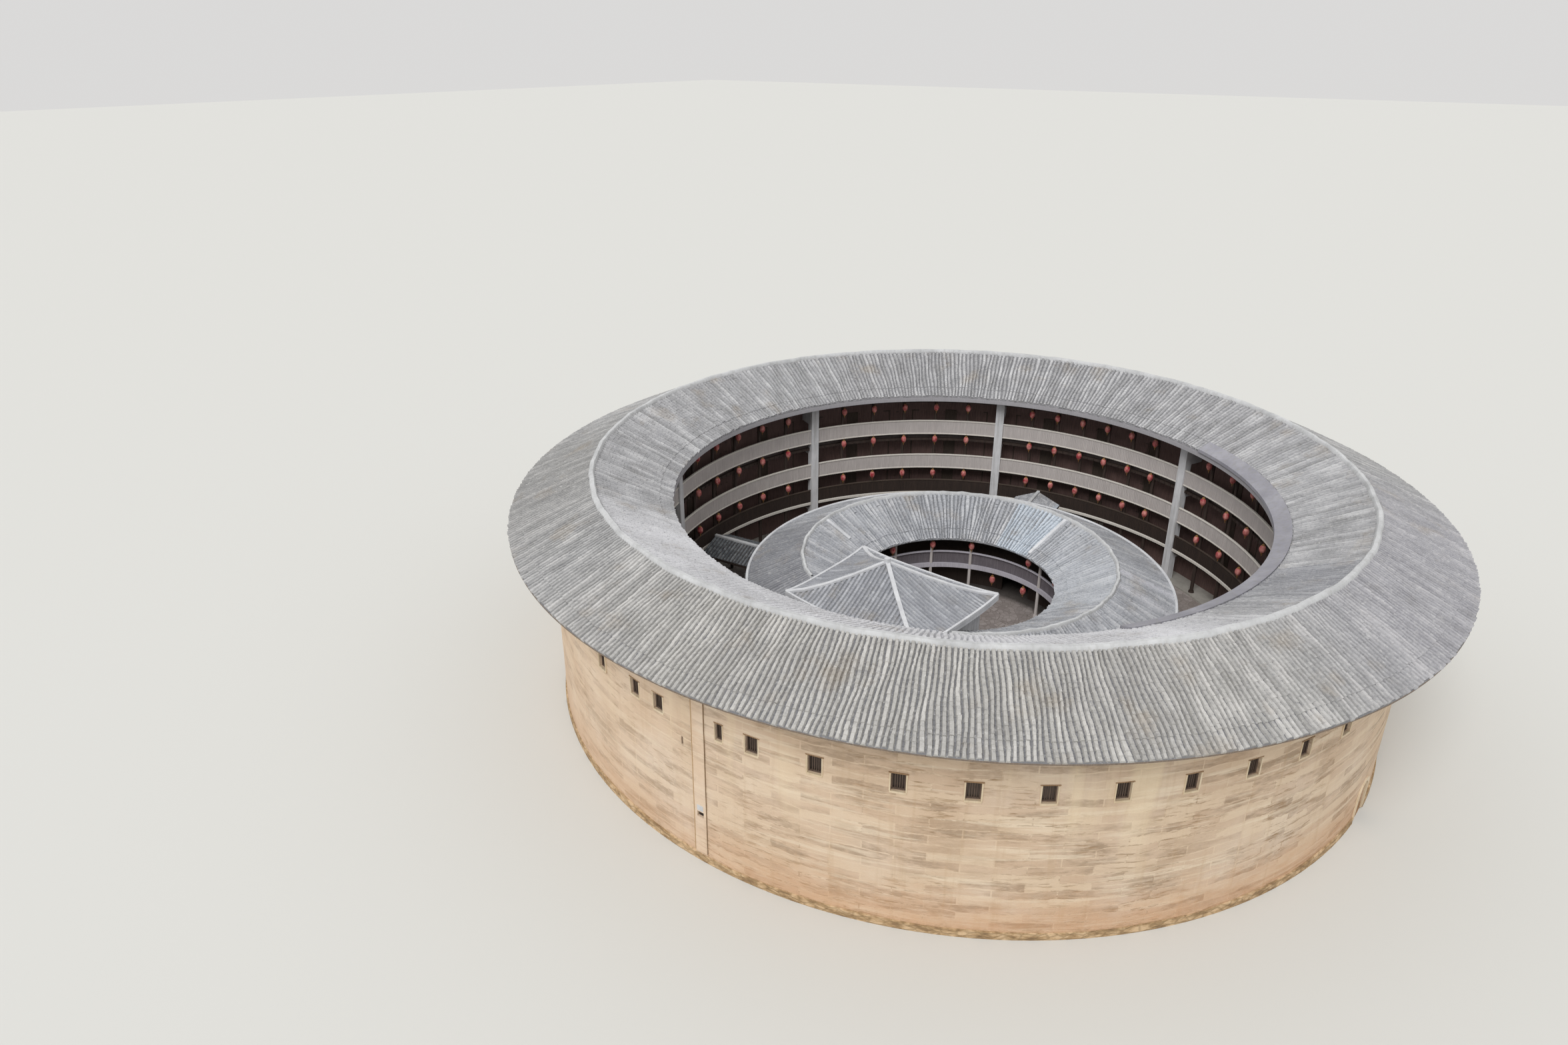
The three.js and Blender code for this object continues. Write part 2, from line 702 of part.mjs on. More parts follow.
function makeInnerRing() {
  const besideHall = [-hall.halfWidth - gap, hall.halfWidth + gap];
  const hallSpace = block(besideHall, [0, hall.back + gap], [0, beyond]);
  const eaveClear = 0.08 * metre;
  const underEaves = hall.eaveHeight - hall.roofThickness - 2 * eaveClear;
  const eaves = new THREE.Box2().setFromPoints(hallEaves).expandByScalar(eaveClear);
  const hallRoofSpace = block([eaves.min.x, eaves.max.x], [eaves.min.y, eaves.max.y], [underEaves, beyond]);
  const roofTop = [
    [innerRing.innerEaveRadius, innerRing.innerEaveHeight],
    [innerRing.ridgeRadius, innerRing.ridgeHeight],
    [innerRing.eaveRadius, innerRing.eaveHeight],
  ];
  const lowered = (drop) => roofTop.map(([radius, height]) => [radius, height - drop]).reverse();
  const above = innerRingOf([
    ...lowered(innerRing.roofThickness + gap),
    [innerRing.innerEaveRadius, beyond],
    [innerRing.eaveRadius, beyond],
  ]);
  const base = court.thickness + gap;
  const wallInner = innerRing.wallRadius - innerRing.wallThickness;
  const doorways = innerDoorways([wallInner - metre, innerRing.eaveRadius]);
  const wallRadii = [wallInner, innerRing.wallRadius];
  const ringWall = innerRingOf(rectangle(wallRadii, [base, innerRing.ridgeHeight]));
  add('inner_ring_wall', cut(ringWall, [above, ...doorways]), finish.plaster);

  const floorBottom = innerRing.floorTop - innerRing.floorThickness;
  const floorHeights = [floorBottom, innerRing.floorTop];
  const floor = innerRingOf(rectangle([innerRing.floorRadius, wallInner - gap], floorHeights));
  add('inner_ring_floor', cut(floor, [hallSpace]), finish.floorBoard);

  const frontRadii = [innerRing.frontRadius - innerRing.frontThickness, innerRing.frontRadius];
  const frontDoors = innerDoorways([innerRing.floorRadius, wallInner]);
  const lowerFront = innerRingOf(rectangle(frontRadii, [base, floorBottom - gap]));
  add('inner_ring_front_1', cut(lowerFront, [hallSpace, ...frontDoors]), finish.timber);
  const upperHeights = [innerRing.floorTop + gap, innerRing.ridgeHeight];
  const upperFront = innerRingOf(rectangle(frontRadii, upperHeights));
  add('inner_ring_front_2', cut(upperFront, [hallSpace, above]), finish.timber);

  const bandPieces = innerRing.bands.map((heights) => {
    return innerRingOf(rectangle([innerRing.bandInnerRadius, innerRing.bandOuterRadius], heights));
  });
  const acrossPost = [-innerRing.postWidth / 2, innerRing.postWidth / 2];
  const postRadii = [innerRing.postInnerRadius, innerRing.postOuterRadius];
  const posts = innerRing.postAzimuths.map((azimuth) => {
    return radialBlock(acrossPost, [base, innerRing.ridgeHeight], postRadii, azimuth);
  });
  const ringGallery = cut(join([...bandPieces, ...posts]), [hallSpace, above]);
  add('inner_ring_gallery', ringGallery, finish.weatheredBoard);

  const shell = innerRingOf([...roofTop, ...lowered(innerRing.roofThickness)]);
  add('inner_ring_roof', cut(shell, [hallSpace, hallRoofSpace]), finish.tile);
  const band = ridgeBand(innerRing, ringOuterSlope, ringInnerSlope, innerRingOf);
  add('inner_ring_ridge', cut(band, [hallSpace, hallRoofSpace]), finish.lime);
}

// A small gabled roof on posts over the way between the rings.
function makePassages() {
  for (const passage of passages) {
    const { name, azimuth, halfWidth, ridge, eave, end } = passage;
    const { start, thickness, postWidth, postInset } = passageRoof;
    const top = [[-halfWidth, eave], [0, ridge], [halfWidth, eave]];
    const underside = top.map(([across, height]) => [across, height - thickness]).reverse();
    const outline = new THREE.Shape(counterClockwise([...top, ...underside]));
    const cover = radialPrism(outline, [start, end], azimuth);
    const half = postWidth / 2;
    const side = halfWidth - postInset;
    const heights = [court.thickness + gap, eave];
    const postRadii = [start + postInset, end - postInset];
    const posts = [-side, side].flatMap((middle) => postRadii.map((radius) => {
      const radii = [radius - half, radius + half];
      return radialBlock([middle - half, middle + half], heights, radii, azimuth);
    }));
    add(name, join([cover, ...posts]), finish.tile);
  }
}

add('court_floor', wallRing(rectangle([0, court.radius], [0, court.thickness])), finish.paving);
makeFooting();
makeOuterWall();
makeDoorSurrounds();
makeStrip();
makeFloors();
makeFireWalls();
makeRoomFronts();
makeGalleries();
makeRoof();
add('main_ridge', ridgeBand(roof, outerSlope, innerSlope, wallRing), finish.lime);
makeInnerRing();
makeHall();
makeHallHips();
makePassages();

export default house;
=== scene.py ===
# A round clan house of rammed earth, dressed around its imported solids.
# Lengths are the real building's, in metres, until a finished piece is shrunk to the model's scale of 1:2.
# Azimuths are in degrees from +X towards +Y.
import math
import bmesh
import bpy
import numpy as np
from mathutils import Matrix, Vector, noise


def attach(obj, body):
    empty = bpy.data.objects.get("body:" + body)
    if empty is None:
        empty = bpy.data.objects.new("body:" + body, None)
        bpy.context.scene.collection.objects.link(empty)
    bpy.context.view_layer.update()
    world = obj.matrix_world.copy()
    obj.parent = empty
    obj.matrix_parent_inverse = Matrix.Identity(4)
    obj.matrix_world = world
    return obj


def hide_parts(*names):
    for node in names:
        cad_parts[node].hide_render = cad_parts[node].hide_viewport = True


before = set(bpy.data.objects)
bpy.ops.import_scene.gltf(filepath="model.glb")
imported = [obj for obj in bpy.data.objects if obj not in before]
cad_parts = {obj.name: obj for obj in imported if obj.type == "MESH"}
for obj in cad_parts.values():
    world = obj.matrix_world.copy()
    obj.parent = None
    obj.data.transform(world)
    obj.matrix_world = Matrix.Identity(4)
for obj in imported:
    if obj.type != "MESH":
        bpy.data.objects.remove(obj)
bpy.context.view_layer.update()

SCALE = 0.5
TURN = 2 * math.pi
UP = Vector((0, 0, 1))
GATE = -90
SECTOR = 45


# Camera

FOCAL_SHARE = 1564.35 / 2352
SENSOR_WIDTH = 36
FAR_CLIP = 2000
CAMERA_PLACE = Vector((-34.42, 59.62, 41.72))
# The camera stands at azimuth 120, looks 25 degrees down and a little to one side of the middle.
CAMERA_AZIMUTH = 120
CAMERA_DOWN = 25.02
CAMERA_ASIDE = -10.54
CAMERA_ROLL = -0.2


def new_object(name, data):
    made = bpy.data.objects.new(name, data)
    bpy.context.scene.collection.objects.link(made)
    return made


def set_camera():
    data = bpy.data.cameras.new("camera")
    data.sensor_width = SENSOR_WIDTH
    data.lens = SENSOR_WIDTH * FOCAL_SHARE
    data.clip_end = FAR_CLIP
    camera = new_object("camera", data)
    bpy.context.scene.camera = camera
    heading = math.radians(CAMERA_AZIMUTH + 180 - CAMERA_ASIDE)
    down = math.radians(CAMERA_DOWN)
    level = math.cos(down)
    forward = Vector((math.cos(heading) * level, math.sin(heading) * level, -math.sin(down)))
    right = forward.cross(UP).normalized()
    roll = Matrix.Rotation(math.radians(CAMERA_ROLL), 3, "Z")
    turn = Matrix((right, right.cross(forward), -forward)).transposed() @ roll
    camera.matrix_world = Matrix.Translation(CAMERA_PLACE * SCALE) @ turn.to_4x4()

set_camera()


# Sizes

WALL_FOOT = 28.55
WALL_TOP = 28.39
WALL_HEIGHT = 15
WALL_INNER = 27.2
WALL_SHOWN = 13.95

ROOF_EAVE = (31.12, 13.17)
ROOF_RIDGE = (25.58, 15.5)
ROOF_INNER_EAVE = (20.32, 12.97)
ROOF_THICK = 0.25
INNER_PITCH = (ROOF_RIDGE[1] - ROOF_INNER_EAVE[1]) / (ROOF_RIDGE[0] - ROOF_INNER_EAVE[0])
EAVE_BOARD_FOOT = 12.42
RING_EAVE = (15.43, 5.74)
RING_RIDGE = (11.24, 7.53)
RING_INNER_EAVE = (7.12, 5.4)
RING_ROOF_THICK = 0.2

FLOOR_TOPS = (0.3, 3.1, 5.75, 8.58)
POST_RADIUS = 22.0
ROOM_FRONT = 23.4
SIX_BAYS = (-15, -7.5, 0, 7.5, 15)
SEVEN_BAYS = (-15, -9, -3, 3, 9, 15)

WINDOW = {"width": 0.74, "height": 1.05, "middle": 9.15}
NARROW_WINDOW = {"azimuth": 96.3, "width": 0.46}
BACK_WINDOWS = 91.9
WINDOW_OFFSETS = (4.4, 8.5, 15.6, *(24.1 + 7.2 * place for place in range(9)))
SIDE_WINDOWS = (1, 181)
DOORS = [dict(zip(("azimuth", "width", "height", "frame"), sizes)) for sizes in
         ((GATE, 2.2, 3.1, 0.32), (2, 1.4, 2.45, 0.26), (178, 1.4, 2.45, 0.26))]
SILL = 0.12
SLIT = {"azimuth": 91.1, "width": 0.14, "height": 0.55, "middle": 7.53}
STRIP = {"azimuth": 93.5, "width": 0.85, "face": 0.05}
OUTLET = {"azimuth": 93.5, "width": 0.46, "height": 0.36, "middle": 3.18}

# The hall's eaves run round from the front corner on the left, seen from the gate.
HALL_CORNERS = ((-5.5, 3.75), (5.7, 3.75), (5.65, 12.6), (-5.15, 13.1))
HALL_APEX = (0.6, 8.1)
HALL_EAVE, HALL_TOP = 7.42, 9.85
HALL_LIFT, HALL_CURVE = 0.25, 1.3


# Materials


def linear(code):
    shares = [int(code[start:start + 2], 16) / 255 for start in (1, 3, 5)]
    return (*(share / 12.92 if share <= 0.04045 else ((share + 0.055) / 1.055) ** 2.4
              for share in shares), 1)


def per_feature(millimetres):
    """The texture scale at which one feature is this many millimetres long on the real building."""
    return 1000 / (millimetres * SCALE)


# Positions of the Mix node's colour sockets.
MIX_SHARE, MIX_FIRST, MIX_SECOND, MIX_RESULT = 0, 6, 7, 2


class Finish:
    """A material around one shader: a first colour, others laid over it, and a bump."""

    def __init__(self, name, roughness):
        self.material = bpy.data.materials.new(name)
        self.material.use_nodes = True
        self.tree = self.material.node_tree
        self.shader = self.tree.nodes["Principled BSDF"]
        self.shader.inputs["Roughness"].default_value = roughness
        self.place = self.add("TexCoord").outputs["Object"]
        self.colour = None

    def add(self, kind, inputs=None, **settings):
        """Adds a node, with a link or a value for each of its inputs that are given."""
        node = self.tree.nodes.new("ShaderNode" + kind)
        for name, value in settings.items():
            setattr(node, name, value)
        for socket, value in (inputs or {}).items():
            if isinstance(value, bpy.types.NodeSocket):
                self.tree.links.new(value, node.inputs[socket])
            else:
                node.inputs[socket].default_value = value
        return node

    def axes(self):
        return self.add("SeparateXYZ", {"Vector": self.place}).outputs

    def azimuth(self, axes):
        return self.math("ARCTAN2", axes["Y"], axes["X"])

    def stretched(self, across, along):
        """Object coordinates whose features are longer or shorter in height than they are across."""
        scale = (per_feature(across), per_feature(across), per_feature(along))
        return self.add("Mapping", {"Vector": self.place, "Scale": scale}).outputs["Vector"]

    def noise(self, size, detail=4.0, rough=0.6, scale=1.0):
        """Noise with features of one size in millimetres, or of one across and another in height."""
        vector = self.place
        if isinstance(size, tuple):
            vector = self.stretched(*size)
        else:
            scale = per_feature(size)
        inputs = {"Vector": vector, "Scale": scale, "Detail": detail, "Roughness": rough}
        return self.add("TexNoise", inputs).outputs["Fac"]

    def between(self, value, low, high):
        inputs = {"Value": value, "From Min": low, "From Max": high}
        return self.add("MapRange", inputs).outputs["Result"]

    def patchy(self, size, low, high, *noise_settings):
        return self.between(self.noise(size, *noise_settings), low, high)

    def math(self, operation, first, second=0.0):
        return self.add("Math", {0: first, 1: second}, operation=operation).outputs[0]

    def times(self, *values):
        product = values[0]
        for value in values[1:]:
            product = self.math("MULTIPLY", product, value)
        return product

    def part_shade(self):
        return self.add("Attribute", attribute_name="shade").outputs["Fac"]

    def ramp(self, value, colours, first=0.0, last=1.0):
        """Starts with a row of colours, spread evenly over a span of a value."""
        ramp = self.add("ValToRGB", {"Fac": value})
        stops, codes = ramp.color_ramp.elements, colours.split()
        for number, code in enumerate(codes):
            place = first + (last - first) * number / (len(codes) - 1)
            stop = stops[number] if number < 2 else stops.new(place)
            stop.position = place
            stop.color = linear(code)
        self.colour = ramp.outputs["Color"]

    def mix(self, share, first, second):
        inputs = {MIX_SHARE: share, MIX_FIRST: first, MIX_SECOND: second}
        self.colour = self.add("Mix", inputs, data_type="RGBA").outputs[MIX_RESULT]

    def lay(self, code, *shares):
        """Lays a colour over what is there, by the product of some shares."""
        self.mix(self.times(*shares), self.colour, linear(code))

    def done(self, bump, strength, depth):
        inputs = {"Height": bump, "Strength": strength, "Distance": depth * SCALE}
        normal = self.add("Bump", inputs).outputs["Normal"]
        self.tree.links.new(self.colour, self.shader.inputs["Base Color"])
        self.tree.links.new(normal, self.shader.inputs["Normal"])
        return self.material


# Dust, damp, rust, lichen and soot on tiles: a noise's size, range, detail and roughness, share and colour.
TILE_STAINS = (
    (5200, 0.46, 0.72, 5, 0.62, 0.3, "#8d8c8d"),
    (1500, 0.56, 0.76, 4, 0.6, 0.35, "#83807d"),
    (2600, 0.58, 0.72, 4, 0.6, 0.35, "#a1937f"),
    (230, 0.55, 0.72, 4, 0.75, 0.6, "#d5d4d2"),
    (230, 0.46, 0.34, 4, 0.75, 0.4, "#74747a"),
)


def clay_tile(name, colours, patches=()):
    """Grey clay tile, kiln fired and long weathered: dull, its rows a little unlike each other."""
    tile = Finish(name, 0.88)
    tile.ramp(tile.part_shade(), colours)
    azimuth = tile.azimuth(tile.axes())
    # A patch lies between two azimuths, and fades out at its sides. Some patches are newer or stained tiles;
    # others are painted highlight or painted shade, as noted at the finishes below.
    for low, high, fade, share, code in patches:
        low, high, fade = (math.radians(angle) for angle in (low, high, fade))
        past, short = tile.between(azimuth, low, low + fade), tile.between(azimuth, high, high - fade)
        tile.lay(code, past, short, share)
    for *noise_range, share, code in TILE_STAINS:
        tile.lay(code, tile.patchy(*noise_range), share)
    return tile.done(tile.noise(70), 0.35, 0.02)


WEATHER_SIDE = 145
LIFT = 0.52
LIFT_LENGTH = 3.3
LIFT_JOINT = 0.06


def rammed_earth(name="rammed earth in lifts", worn=1.0):
    """Rammed earth, tamped in lifts and long rained on: dry and matt, with open joints and stains."""
    earth = Finish(name, 0.93)
    axes = earth.axes()
    azimuth, height = earth.azimuth(axes), axes["Z"]
    towards = earth.math("COSINE", earth.math("SUBTRACT", azimuth, math.radians(WEATHER_SIDE)))
    side = earth.math("POWER", earth.between(towards, -1, 1), 2)
    weather = earth.math("ADD", earth.times(side, 0.8 * worn), 0.2 * worn)
    earth.ramp(earth.noise(6000, 5), "#d3b699 #dec5ab #e6d2bd", 0.3, 0.7)
    earth.lay("#8f7c68", side, 0.25 * worn)
    # Each lift was tamped in lengths, whose joints wander.
    wander = earth.math("SUBTRACT", earth.noise((2200, 1300), 3, 0.55), 0.5)
    level = earth.math("ADD", height, earth.times(wander, 0.5 * SCALE))
    along = earth.times(azimuth, WALL_FOOT * SCALE)
    black, white = linear("#000000"), linear("#ffffff")
    lengths = earth.add("TexBrick", {
        "Vector": earth.add("CombineXYZ", {"X": along, "Y": level}).outputs["Vector"],
        "Color1": black, "Color2": white, "Mortar": black, "Scale": 1.0,
        "Mortar Size": LIFT_JOINT * SCALE, "Mortar Smooth": 0.9,
        "Brick Width": LIFT_LENGTH * SCALE, "Row Height": LIFT * SCALE}).outputs
    own = earth.add("SeparateColor", {"Color": lengths["Color"]}).outputs["Red"]
    smudges = earth.noise((3200, 800), 5, 0.62)
    ragged = earth.noise((520, 190), 4, 0.65)
    earth.lay("#ecdabd", earth.between(own, 0.45, 0.1), weather, 0.3)
    earth.lay("#97826c", earth.between(own, 0.3, 0.7), earth.between(smudges, 0.44, 0.58),
              earth.between(ragged, 0.26, 0.54), weather, 0.72)
    earth.lay("#e4d4bc", earth.patchy((6500, 300), 0.54, 0.63), side, 0.6)
    earth.lay("#ab9378", earth.between(smudges, 0.54, 0.68), weather, 0.35)
    # Rain runs down in streaks, and plaster washes out in pale bands below the eaves.
    earth.lay("#b99c79", earth.patchy((380, 6500), 0.54, 0.72), weather, 0.3)
    washed = earth.patchy((2600, 24000), 0.58, 0.66, 3, 0.5, 1.1)
    earth.lay("#e6d3b3", washed, side, earth.between(height, 1.2, 4.5), 0.5)
    # The joints broke open in places, into dark wedges.
    groups = earth.patchy(4200, 0.44, 0.6, 3)
    opened = earth.times(lengths["Fac"], earth.between(ragged, 0.46, 0.56), groups, weather)
    earth.lay("#8d7052", opened, 0.6)
    broken = earth.times(earth.patchy((1500, 210), 0.56, 0.66, 5, 0.62), groups, weather)
    earth.lay("#947550", broken, 0.7)
    swung = earth.math("ADD", height, earth.times(earth.noise((1100, 500), scale=1.2), 1.4))
    earth.lay("#c8966b", earth.between(swung, 2.4, 0.7), weather, 0.62)
    earth.lay("#a0886c", earth.between(swung, 5.9, 7.3), weather, 0.5)
    # Splashed mud stands a few decimetres up the wall, with a ragged edge.
    splashed = earth.math("ADD", height, earth.times(earth.noise((500, 320), 4, 0.7), 0.75))
    earth.lay("#93744f", earth.between(splashed, 0.66, 0.42), 0.6)
    hollows = earth.math("ADD", earth.times(broken, 0.8), earth.times(opened, 0.8))
    return earth.done(earth.math("SUBTRACT", earth.noise(90, 5, 0.65), hollows), 0.5, 0.06)


def stained(name, colours, amount=0.5, streak="#8c8b84", last=0.7):
    """Lime and stone work: trowelled or dressed, matt, with rain stains that run down it."""
    face = Finish(name, 0.85)
    face.ramp(face.noise(1800, 5), colours, 0.3, last)
    face.lay(streak, face.patchy((260, 3200), 0.48, 0.72), amount)
    return face.done(face.noise(60, 5), 0.3, 0.02)


def timber(name, colours, roughness=0.75, own_share=0.5):
    """Sawn fir, weathered or smoked: grain along its height, each board its own shade."""
    board = Finish(name, roughness)
    grain = board.noise((28, 900), 5)
    board.ramp(grain, colours, 0.3, 0.7)
    dark = colours.split()[0]
    board.lay(dark, board.part_shade(), own_share)
    board.lay(dark, board.patchy(1400, 0.5, 0.75), 0.4)
    return board.done(grain, 0.35, 0.01)


# Inner and outer radius of the painted shade on the paving, under the court ring's roof.
SHADED_PAVING = (8.3, 15.4)


def court_paving():
    """River cobbles and worn slabs, bedded in earth."""
    paving = Finish("river cobble paving", 0.9)
    inputs = {"Vector": paving.place, "Scale": per_feature(420)}
    stones = paving.add("TexVoronoi", inputs, feature="DISTANCE_TO_EDGE").outputs["Distance"]
    own = paving.add("TexVoronoi", inputs).outputs["Color"]
    paving.ramp(paving.add("SeparateColor", {"Color": own}).outputs["Red"], "#8b827e #a39a96")
    joint = paving.between(stones, 0.01, 0.06)
    paving.mix(joint, linear("#7a716c"), paving.colour)
    paving.lay("#81776f", paving.patchy(2600, 0.45, 0.7, 5), 0.5)
    axes = paving.axes()
    plan = paving.add("CombineXYZ", {"X": axes["X"], "Y": axes["Y"]}).outputs["Vector"]
    radius = paving.add("VectorMath", {0: plan}, operation="LENGTH").outputs["Value"]
    # Painted shade: the paving under the court ring's roof is darkened.
    inner, outer = SHADED_PAVING
    paving.lay("#3a3531", paving.between(radius, inner * SCALE, (inner + 0.6) * SCALE),
               paving.between(radius, outer * SCALE, (outer - 0.8) * SCALE), 0.85)
    return paving.done(joint, 0.3, 0.02)


def field_stone():
    """Field stones set in earth mortar, so muddy that few of them show."""
    stone = Finish("field stone footing", 0.9)
    inputs = {"Vector": stone.stretched(620, 300), "Scale": 1.0}
    edges = stone.add("TexVoronoi", inputs, feature="DISTANCE_TO_EDGE").outputs["Distance"]
    stone.ramp(stone.noise((900, 260), 5, 0.65), "#8a7052 #ae916c #ceb28e", 0.36, 0.6)
    joint = stone.between(edges, 0.02, 0.14)
    stone.lay("#806a4a", stone.math("SUBTRACT", 1.0, joint), 0.4)
    return stone.done(joint, 0.6, 0.04)


def smooth_faded(name, colours, roughness, feature=300):
    """A smooth painted or papered face, faded unevenly; some finishes of it are partly painted light or
    shade, as noted where they are made.
    """
    face = Finish(name, roughness)
    broad = face.noise(feature)
    face.ramp(broad, colours, 0.35, 0.7)
    return face.done(broad, 0.2, 0.01)


FINISHES = {
    "outer tile": clay_tile("weathered grey clay tile", "#979797 #ababab #c7c6c5", (
        (70, 165, 25, 0.35, "#c2bdb2"), (15, 70, 20, 0.4, "#85837f"),
        (155, 200, 18, 0.35, "#a3a1ad"), (-200, -140, 18, 0.35, "#a3a1ad"))),
    # Between azimuths 52 and 161 the court side's tiles are lightened: painted highlight, where their rows
    # catch the light at a grazing angle.
    "inner tile": clay_tile("weathered grey clay tile of the court side", "#979798 #aaaaac #c7c7c8", (
        (52, 161, 14, 0.85, "#e2e2e5"), (160, 200, 10, 0.5, "#83858d"))),
    # The deck is darkened as painted shade under the cover tiles.
    "main deck": clay_tile("grey clay pan tile in shade", "#7b7b7e #858587 #8f8f90"),
    # The court side's deck is darkened as painted shade under the cover tiles, and lightened between
    # azimuths 52 and 161 as painted highlight.
    "court deck": clay_tile("grey clay pan tile of the court side", "#868689 #8f8f92 #9a9a9b", (
        (52, 161, 14, 0.8, "#cccdd1"),)),
    # Between azimuths 0 and 80 the ring's tiles are darkened: painted shade, where their rows are seen
    # across.
    "ring tile": clay_tile("pale grey clay tile", "#9a9ca1 #adafb4 #c6c7ca", (
        (0, 80, 15, 0.6, "#77777c"), (-155, -150, 1.5, 0.6, "#cfcfd6"),
        (-166, -161, 1.5, 0.55, "#cfcfd4"))),
    "mended tile": clay_tile("pale grey clay tile with newer tiles", "#9a9ca1 #adafb4 #c6c7ca", (
        (-107, -84, 1, 0.7, "#c9d4df"), (-200, -104, 12, 0.35, "#ced3d9"))),
    "hall tile": clay_tile("grey clay tile of the hall", "#92949a #a2a4aa #bbbdc2"),
    # The ways' tiles are coloured dark as painted shade of the main roof's eaves.
    "way tile": clay_tile("grey clay tile in the shade of the eaves", "#4f5357 #5f6468 #767b7f"),
    # The ring's deck, and the hall's roof under its tiles, is darkened as painted shade under the cover
    # tiles.
    "ring deck": clay_tile("pale clay pan tile in shade", "#85878b #8f9194 #9b9c9e"),
    "earth": rammed_earth(),
    "strip plaster": rammed_earth("earth plaster", 0.45),
    "lime": stained("trowelled lime mortar", "#b3b4b5 #c6c7c8 #d3d4d5", 0.3),
    "verge": stained("weathered lime verge", "#c4c5c8 #d3d4d7 #e0e1e3", 0.2),
    "eave mortar": stained("weathered eave mortar", "#8b8a92 #98979f #a5a4ab"),
    "plaster": stained("limewashed plaster", "#c1c1c3 #d2d2d4 #dddddf"),
    "patch": stained("lime patching", "#cbb797 #d8c6a9 #e2d3ba", streak="#bba384"),
    "floor stone": stained("dressed granite slabs", "#8b8780 #a8a39b", last=0.6),
    "footing": field_stone(),
    "paving": court_paving(),
    "eave board": timber("weathered eave boards", "#939195 #b0aeb1", 0.8, 0.3),
    "eave edge": timber("sun-bleached eave board", "#655a50 #8a7a6b", 0.8, 0.4),
    "dark timber": timber("smoked fir boards", "#261d19 #43342c"),
    "room timber": timber("worn fir boards of the rooms", "#4d3b38 #7a615b"),
    "post timber": timber("weathered fir posts", "#332a24 #57493f"),
    "pale board": timber("weathered pale fir boards", "#ada6a3 #d2cbc7", 0.8, 0.3),
    "ring rail": timber("limewashed rail of the court ring", "#a5a1aa #cac6cd", 0.8),
    "ring board": timber("grey fir boards of the court ring", "#5f595e #7f787d", 0.8, 0.4),
    "rail": timber("weathered fir rail", "#c6c0b7 #e3ded6"),
    "floor board": timber("worn fir floor boards", "#3b3330 #5e5350"),
    "window timber": timber("rain-worn window fir", "#40332b #6f5d50"),
    "lintel": timber("earth-stained lintel", "#86694c #a98a67"),
    "window board": timber("shut window board", "#463a33 #8d7f73", 0.8, 0.8),
    # Painted shadow: the open joint is a dark strip that stands for the shade in the gap beside the strip.
    "open joint": smooth_faded("open joint", "#85705a #9f896d", 0.95),
    "filled joint": smooth_faded("filled joint", "#b49a79 #c4aa86", 0.95),
    # Painted shade: a dark block set into the outlet and the slit.
    "dark": smooth_faded("painted shade in the drain and slit", "#241d18 #332a23", 0.95),
    # The pale pink on the red silk is partly fading and partly painted highlight.
    "silk": smooth_faded("faded red lantern silk with painted highlights", "#98232f #dc9a90", 0.6, 330),
    "gilt": smooth_faded("dull lantern paper", "#9c7440 #76512f", 0.5),
}


# Shapes


def turned(section, steps, start=0.0, turn=TURN):
    """Spins a closed section of (radius, height) corners about the middle of the house."""
    shape = bmesh.new()
    face = shape.faces.new([shape.verts.new((radius, 0, height)) for radius, height in section])
    whole = abs(turn - TURN) < 1e-6
    if whole:
        bmesh.ops.delete(shape, geom=[face], context="FACES_ONLY")
    geometry = [*shape.edges, *shape.verts, *shape.faces]
    bmesh.ops.spin(shape, geom=geometry, cent=(0, 0, 0), axis=UP, angle=turn, steps=steps, use_merge=whole)
    bmesh.ops.remove_doubles(shape, verts=shape.verts, dist=1e-5)
    bmesh.ops.recalc_face_normals(shape, faces=shape.faces)
    bmesh.ops.rotate(shape, matrix=Matrix.Rotation(start, 3, "Z"), verts=shape.verts)
    return shape


def band(inner, outer, low, high, steps, *arc):
    """A ring, or an arc of one, between two radii and two heights."""
    return turned([(inner, low), (outer, low), (outer, high), (inner, high)], steps, *arc)


BLOCK_FACES = 6
BLOCK_CORNERS = 8


def slab(low, high, bevel=0.0):
    """A block between two corners, with its edges eased."""
    shape = bmesh.new()
    low, high = Vector(low), Vector(high)
    bmesh.ops.create_cube(shape, size=1)
    bmesh.ops.scale(shape, vec=high - low, verts=shape.verts)
    bmesh.ops.translate(shape, vec=(low + high) / 2, verts=shape.verts)
    if bevel:
        bmesh.ops.bevel(shape, geom=shape.edges, offset=bevel, offset_type="OFFSET", segments=1, profile=0.5,
                        affect="EDGES", material=-1)
    return shape


def drum(radius, top_radius, low, high, sides):
    """An upright round or faceted post, which may taper."""
    shape = bmesh.new()
    sizes = {"radius1": radius, "radius2": top_radius, "depth": high - low}
    bmesh.ops.create_cone(shape, cap_ends=True, segments=sides, **sizes)
    bmesh.ops.translate(shape, vec=(0, 0, (low + high) / 2), verts=shape.verts)
    return shape


def mesh_of(name, shape):
    mesh = bpy.data.meshes.new(name)
    shape.to_mesh(mesh)
    shape.free()
    return mesh


def put_together(*shapes):
    whole = bmesh.new()
    for shape in shapes:
        mesh = mesh_of("part", shape)
        whole.from_mesh(mesh)
        bpy.data.meshes.remove(mesh)
    return whole


def copied_to(unit, places):
    """Copies a small shape, or a list of them, to each place."""
    first = mesh_of("unit", put_together(*unit) if isinstance(unit, list) else unit)
    whole = bmesh.new()
    for place in places:
        copy = first.copy()
        copy.transform(place)
        whole.from_mesh(copy)
        bpy.data.meshes.remove(copy)
    bpy.data.meshes.remove(first)
    return whole


